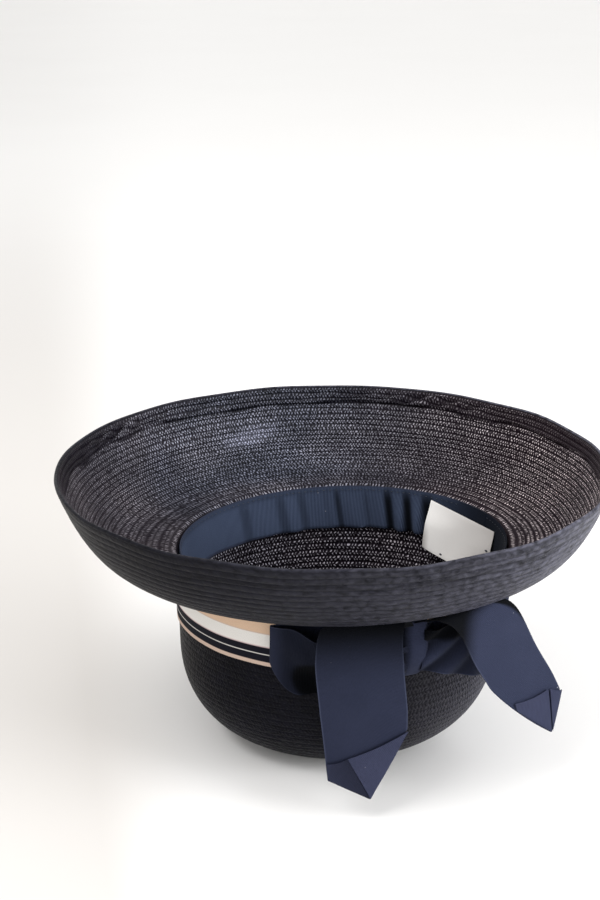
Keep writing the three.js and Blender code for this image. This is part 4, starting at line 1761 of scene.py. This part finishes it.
@dataclass
class Bow:
    """The bow: two pleated loops, a wrapped knot and two hanging tails, sewn on the hat band.

    Lengths are in millimetres. The end of the front loop has its lower corner drawn up, by corner_lift over
    corner_run, and a dent at dent_along from the end and at the share dent_across of the width: a middle
    and a reach each. top_drop lowers its upper edge, between two distances from the end.
    """

    form: HeadForm
    finish: RibbonFinish
    angle: float = -68.0
    angle_reach: float = 1.2
    samples: int = 481
    height: float = 95.0
    band_face: float = 1.3
    ribbon: float = 47.0
    thick: float = 0.6
    loop_rows: int = 121
    loop_columns: int = 41
    front_start: float = 6.5
    back_start: float = 1.5
    front_length: float = 69.8
    back_length: float = 61.8
    waist: float = 26.0
    droop: float = 7.0
    middle: float = 7.0
    waist_gap: float = 3.2
    belly: float = 3.0
    pleats: float = 1.6
    pleat_start: float = 0.22
    pleat_slant: float = 2.1
    pleat_depth: float = 1.8
    pleat_fade: float = 1.2
    narrowing: float = 3.0
    corner_lift: float = 19.0
    corner_run: float = 18.0
    top_drop: float = 8.0
    top_drop_from: tuple[float, float] = (10.0, 28.0)
    dent_depth: float = 8.0
    dent_along: tuple[float, float] = (25.0, 14.0)
    dent_across: tuple[float, float] = (0.24, 0.3)
    front_shade: float = 0.6
    pleat_shade: float = 0.8
    hollow_shade: float = 0.98
    knot_rows: int = 33
    knot_columns: int = 96
    knot_shift: float = -2.6
    knot_middle: float = 95.75
    knot_height: float = 38.5
    knot_half: float = 7.2
    knot_depth: float = 13.0
    knot_gap: float = 0.3
    knot_corner: float = 0.6
    knot_fold: float = 0.05
    knot_shade: float = 0.75
    knot_girth: float = 46.0
    reverse_dark: Colour = (0.017, 0.020, 0.038)
    reverse_light: Colour = (0.037, 0.041, 0.076)
    lit_dark: Colour = (0.0112, 0.0145, 0.0287)
    lit_light: Colour = (0.032, 0.0375, 0.0705)

    def __post_init__(self) -> None:
        """Measures lengths along the head oval from the middle of the bow."""
        reach = np.linspace(-self.angle_reach, self.angle_reach, self.samples)
        self.angles = np.radians(self.angle) + reach
        arc = self.form.arc(self.angles)
        run = np.append(0.0, np.cumsum(0.5 * (arc[1:] + arc[:-1]) * np.diff(self.angles)))
        self.run = run - run[self.samples // 2]

    def point(self, distance: Array, out: Array, z: Array) -> Array:
        """Points at a distance along the hat band from the bow's middle, one out from it, and a height."""
        angle = np.interp(distance, self.run, self.angles)
        foot = self.form.crown_point(angle, np.maximum(z, self.form.corner_height))
        place = foot + self.form.outward(angle) * (self.band_face + out)[..., None]
        return as_points(place[..., 0], place[..., 1], z)

    def loop(self, name: str, way: Way, length: float, material: bpy.types.Material) -> bpy.types.Object:
        """A loop runs out from the knot, turns back at its end and returns under itself.

        Its outer half bellies out and its inner half lies on the band. Pleats fade from the knot to the
        end.

        Args:
            name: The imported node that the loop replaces.
            way: The way along the hat band that it runs.
            length: How far it reaches from its root.
            material: The ribbon's finish.

        Returns:
            The loop's object.
        """
        t = np.linspace(0.0, 1.0, self.loop_rows)[:, None]
        across = np.linspace(0.0, 1.0, self.loop_columns)[None, :]
        front = way is Way.FRONT
        reach = 0.5 * (1.0 - np.cos(TURN * t))
        start = self.front_start if front else self.back_start
        distance = way.value * (start + length * reach)
        out = self.middle + self.waist_gap * np.cos(math.pi * t) + self.belly * np.sin(TURN * t)
        width = lerp(self.waist, self.ribbon, smoothstep(reach, 0.0, 0.8))
        fold = np.cos(TURN * self.pleats * (across - self.pleat_start - self.pleat_slant * reach))
        slack = (1.0 - reach) ** self.pleat_fade
        low = self.height - self.droop * reach - 0.5 * width
        high = low + width
        outer = smoothstep(0.5 - t, 0.02, 0.15)
        dent: Any = 0.0
        if front:
            to_end = length * (1.0 - reach)
            drawn_up = np.clip(1.0 - to_end / self.corner_run, 0.0, 1.0) ** 2
            low = low + self.narrowing * reach + self.corner_lift * drawn_up
            high = high - self.narrowing * reach
            high = high - self.top_drop * outer * smoothstep(to_end, *self.top_drop_from)
            dent = outer * hump(to_end, *self.dent_along) * hump(across, *self.dent_across)
            # Painted shade over the loop but for its far end, and in its dent
            away = self.front_shade * smoothstep(1.0 - reach, 0.0, 0.15)
            tone = np.maximum(away, smoothstep(dent, 0.12, 0.5))
        else:
            # Painted shade in the pleats' valleys and in the hollow at the top, under the brim
            valley = self.pleat_shade * (0.5 - 0.5 * fold) ** 1.5 * slack
            hollow = self.hollow_shade * smoothstep(across, 0.62, 0.78) * (1.0 - smoothstep(reach, 0.4, 0.6))
            tone = np.maximum(valley, hollow) * outer
        z = lerp(low, high, across)
        points = self.point(distance, out + self.pleat_depth * fold * slack - self.dent_depth * dent, z)
        along = lengths_along(points)
        grid = ribbon_grid(points, self.thick, across * self.ribbon, along, tone)
        piece = add_piece(f"{name}_ribbon", [grid], material, (name,))
        cloth_area(points)
        return piece

    def knot(self, material: bpy.types.Material) -> bpy.types.Object:
        """The wrapped knot: rounded-square rings up its height, with folds along the wrap."""
        t = np.linspace(0.0, 1.0, self.knot_rows)[:, None]
        around = turn_angles(self.knot_columns)
        body = lerp(0.8, 1.0, np.sqrt(np.sin(math.pi * t)))
        stand = lerp(0.3, 1.0, np.sin(math.pi * np.clip(t, 0.0, 0.75)) ** 0.7)
        # The first and the last ring close to a point
        closing = np.clip(np.minimum(t, 1.0 - t) * (self.knot_rows - 1.0), 0.0, 1.0)
        corner_x = squared(np.cos(around), self.knot_corner)
        corner_y = squared(np.sin(around), self.knot_corner)
        fold = 0.5 * np.sin(5.0 * around + 1.5 * t) + 0.35 * np.sin(9.0 * around - 1.0)
        size = body * closing * (1.0 + self.knot_fold * fold)
        distance = self.knot_shift + self.knot_half * size * corner_x
        out = self.knot_gap + 0.5 * self.knot_depth * stand * (1.0 + size * corner_y)
        points = self.point(distance, out, self.knot_middle + self.knot_height * (t - 0.5))
        # Painted shade down the knot's side towards the front loop
        tone = np.broadcast_to(self.knot_shade * hump(corner_x, -0.8, 0.25), points.shape[:2])
        uv = as_places(around / TURN * self.knot_girth, t * self.knot_height)
        grid = Grid(points, uv, joined_columns=True, marks={"tone": tone})
        return add_piece("bow_knot_wrap", [grid], material, ("bow_knot",))

    def build(self) -> None:
        """Makes the loops, the knot and the tails."""
        material = self.finish.material("bow_ribbon", self.ribbon)
        paler = replace(self.finish, dark=self.reverse_dark, light=self.reverse_light)
        reverse = paler.material("bow_ribbon_reverse", self.ribbon)
        self.loop("bow_loop_front", Way.FRONT, self.front_length, material)
        self.loop("bow_loop_back", Way.BACK, self.back_length, material)
        knot = self.knot(material)
        front = Tail("bow_tail_front", FRONT_STATIONS, FRONT_MITRE, (0.335, 0.6))
        front.build(material, reverse, knot)
        back = Tail("bow_tail_back", BACK_STATIONS, BACK_MITRE, (0.22, 0.4), shaded_left=0.3, curl=1.05)
        lit = replace(self.finish, dark=self.lit_dark, light=self.lit_light)
        back.build(lit.material("bow_ribbon_lit", self.ribbon), reverse, knot)


@dataclass(frozen=True)
class Lamp:
    """A square soft light that faces the hat: its place and size in metres, and its power in watts."""

    name: str
    place: tuple[float, float, float]
    size: float
    power: float
    colour: Colour


@dataclass
class Studio:
    """A plain pale floor, soft lights and the camera at the photograph's viewing angle, in metres.

    The floor turns paler between two distances behind the hat, painted light where the lamps reach less. Its
    painted shade at the left starts between two slopes of a line from below the camera, shade_from away, and
    fades between two distances.
    """

    camera_place: tuple[float, float, float] = (-0.02118, -0.80864, 0.4812)
    camera_pitch: float = 69.41
    lens: float = 60.0
    sensor: float = 36.0
    clip_end: float = 60.0
    floor_half: float = 9.0
    floor_lines: int = 9
    floor_colour: Colour = (0.875, 0.87, 0.865)
    floor_far: Colour = (0.995, 0.99, 0.985)
    floor_shade: Colour = (0.60, 0.58, 0.56)
    cloud_scale: float = 3.0
    pale_between: tuple[float, float] = (0.3, 1.5)
    shade_from: float = 0.81
    shade_slopes: tuple[float, float] = (0.08, 0.2)
    shade_fades: tuple[float, float] = (0.2, 2.2)
    sky: Colour = (1.0, 0.99, 0.975)
    sky_low: float = 1.42
    sky_high: float = 0.68
    sky_turns_at: float = 0.8
    sun_angle: float = 60.0
    sun_strength: float = 0.36
    sun_colour: Colour = (0.97, 0.985, 1.0)
    sun_towards: tuple[float, float, float] = (0.5, -0.05, 0.86)
    aim: tuple[float, float, float] = (0.0, 0.0, 0.1)
    lamps: tuple[Lamp, ...] = (
        Lamp("ceiling", (-0.55, -0.45, 1.45), 0.9, 18.0, (1.0, 0.99, 0.98)),
        Lamp("window", (1.4, -0.6, 0.7), 1.0, 27.0, (0.98, 0.99, 1.0)),
    )

    def floor(self) -> None:
        """A wide level sheet under the hat, a touch uneven in tone, paler far off and darker to the left:
        painted light and shade.
        """
        line = np.linspace(-self.floor_half, self.floor_half, self.floor_lines)
        points = as_points(line[None, :], line[:, None], 0.0)
        mesh = bpy.data.meshes.new("floor")
        number = np.arange(line.size**2).reshape(line.size, line.size)
        mesh.from_pydata(points.reshape(-1, 3).tolist(), [], quad_corners(number).tolist())
        floor = add_object("floor", mesh)
        shader = Shader("pale_floor")
        where = shader.where()
        cloud = shader.noise(where, self.cloud_scale)
        parts = shader.node("ShaderNodeSeparateXYZ", inputs={0: where})
        aside, away = Value(shader, parts.outputs[0]), Value(shader, parts.outputs[1])
        leftward = (aside * -1.0) / shader.math("MAXIMUM", away + self.shade_from, 0.3)
        shade = leftward.step(*self.shade_slopes) * (1.0 - away.step(*self.shade_fades) * 0.8)
        pale = shader.mix(away.step(*self.pale_between), self.floor_colour, self.floor_far)
        colour = shader.mix(shade + cloud * 0.06, pale, self.floor_shade)
        mesh.materials.append(shader.dress({"Base Color": colour, "Roughness": cloud * 0.1 + 0.65}))

    @staticmethod
    def hang(lamp: bpy.types.Light, along: Array) -> bpy.types.Object:
        """Puts a light into the scene, turned to shine along a direction."""
        holder = add_object(lamp.name, lamp)
        holder.rotation_euler = (
            math.atan2(math.hypot(along[0], along[1]), -along[2]),
            0.0,
            math.atan2(along[1], along[0]) - math.pi / 2,
        )
        return holder

    def light(self, lamp: Lamp) -> None:
        """A square soft light that faces the hat."""
        data = bpy.data.lights.new(lamp.name, "AREA")
        data.shape = "SQUARE"
        data.size = lamp.size
        data.energy = lamp.power
        data.color = lamp.colour
        self.hang(data, np.array(self.aim) - np.array(lamp.place)).location = lamp.place

    def sun(self) -> None:
        """A wide soft light from one direction, the same over the whole floor."""
        data = bpy.data.lights.new("skylight", "SUN")
        data.energy = self.sun_strength
        data.angle = math.radians(self.sun_angle)
        data.color = self.sun_colour
        self.hang(data, -np.array(self.sun_towards))

    def camera(self) -> None:
        """The camera, level across and pitched down at the hat."""
        data = bpy.data.cameras.new("camera")
        data.lens = self.lens
        data.sensor_width = self.sensor
        data.clip_end = self.clip_end
        camera = add_object("camera", data)
        camera.location = self.camera_place
        camera.rotation_euler = (math.radians(self.camera_pitch), 0.0, 0.0)
        bpy.context.scene.camera = camera

    def build(self) -> None:
        """Sets up the sky, the floor, the lights and the camera."""
        scene = bpy.context.scene
        scene.view_settings.view_transform = "Standard"
        scene.world = bpy.data.worlds.new("studio")
        scene.world.use_nodes = True
        background = scene.world.node_tree.nodes["Background"]
        nodes = Nodes(scene.world.node_tree)
        direction = nodes.node("ShaderNodeTexCoord").outputs["Generated"]
        parts = nodes.node("ShaderNodeSeparateXYZ", inputs={0: direction})
        upward = Value(nodes, parts.outputs[2])
        strength = lerp(self.sky_low, self.sky_high, upward.step(0.0, self.sky_turns_at))
        nodes.plug(background.inputs["Color"], self.sky)
        nodes.plug(background.inputs["Strength"], strength)
        self.floor()
        self.sun()
        for lamp in self.lamps:
            self.light(lamp)
        self.camera()


def main() -> None:
    """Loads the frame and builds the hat's pieces in order."""
    logging.basicConfig(level=logging.INFO, format="%(name)s %(message)s")
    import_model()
    Studio().build()
    form = HeadForm()
    rows = Rows()
    straw = StrawFinish()
    thread = ThreadFinish()
    Crown(form, rows, replace(straw, shine=0.05)).build()
    Brim(form, rows, straw).build()
    HatBand(form, StripeFinish()).build()
    inner_ribbon = RibbonFinish(dark=(0.021, 0.029, 0.053), light=(0.071, 0.094, 0.158), rib_shade=0.6)
    SweatBand(form, inner_ribbon, thread).build()
    Label(form, SatinFinish(), thread).build()
    Bow(form, RibbonFinish()).build()


if __name__ == "__main__":
    main()
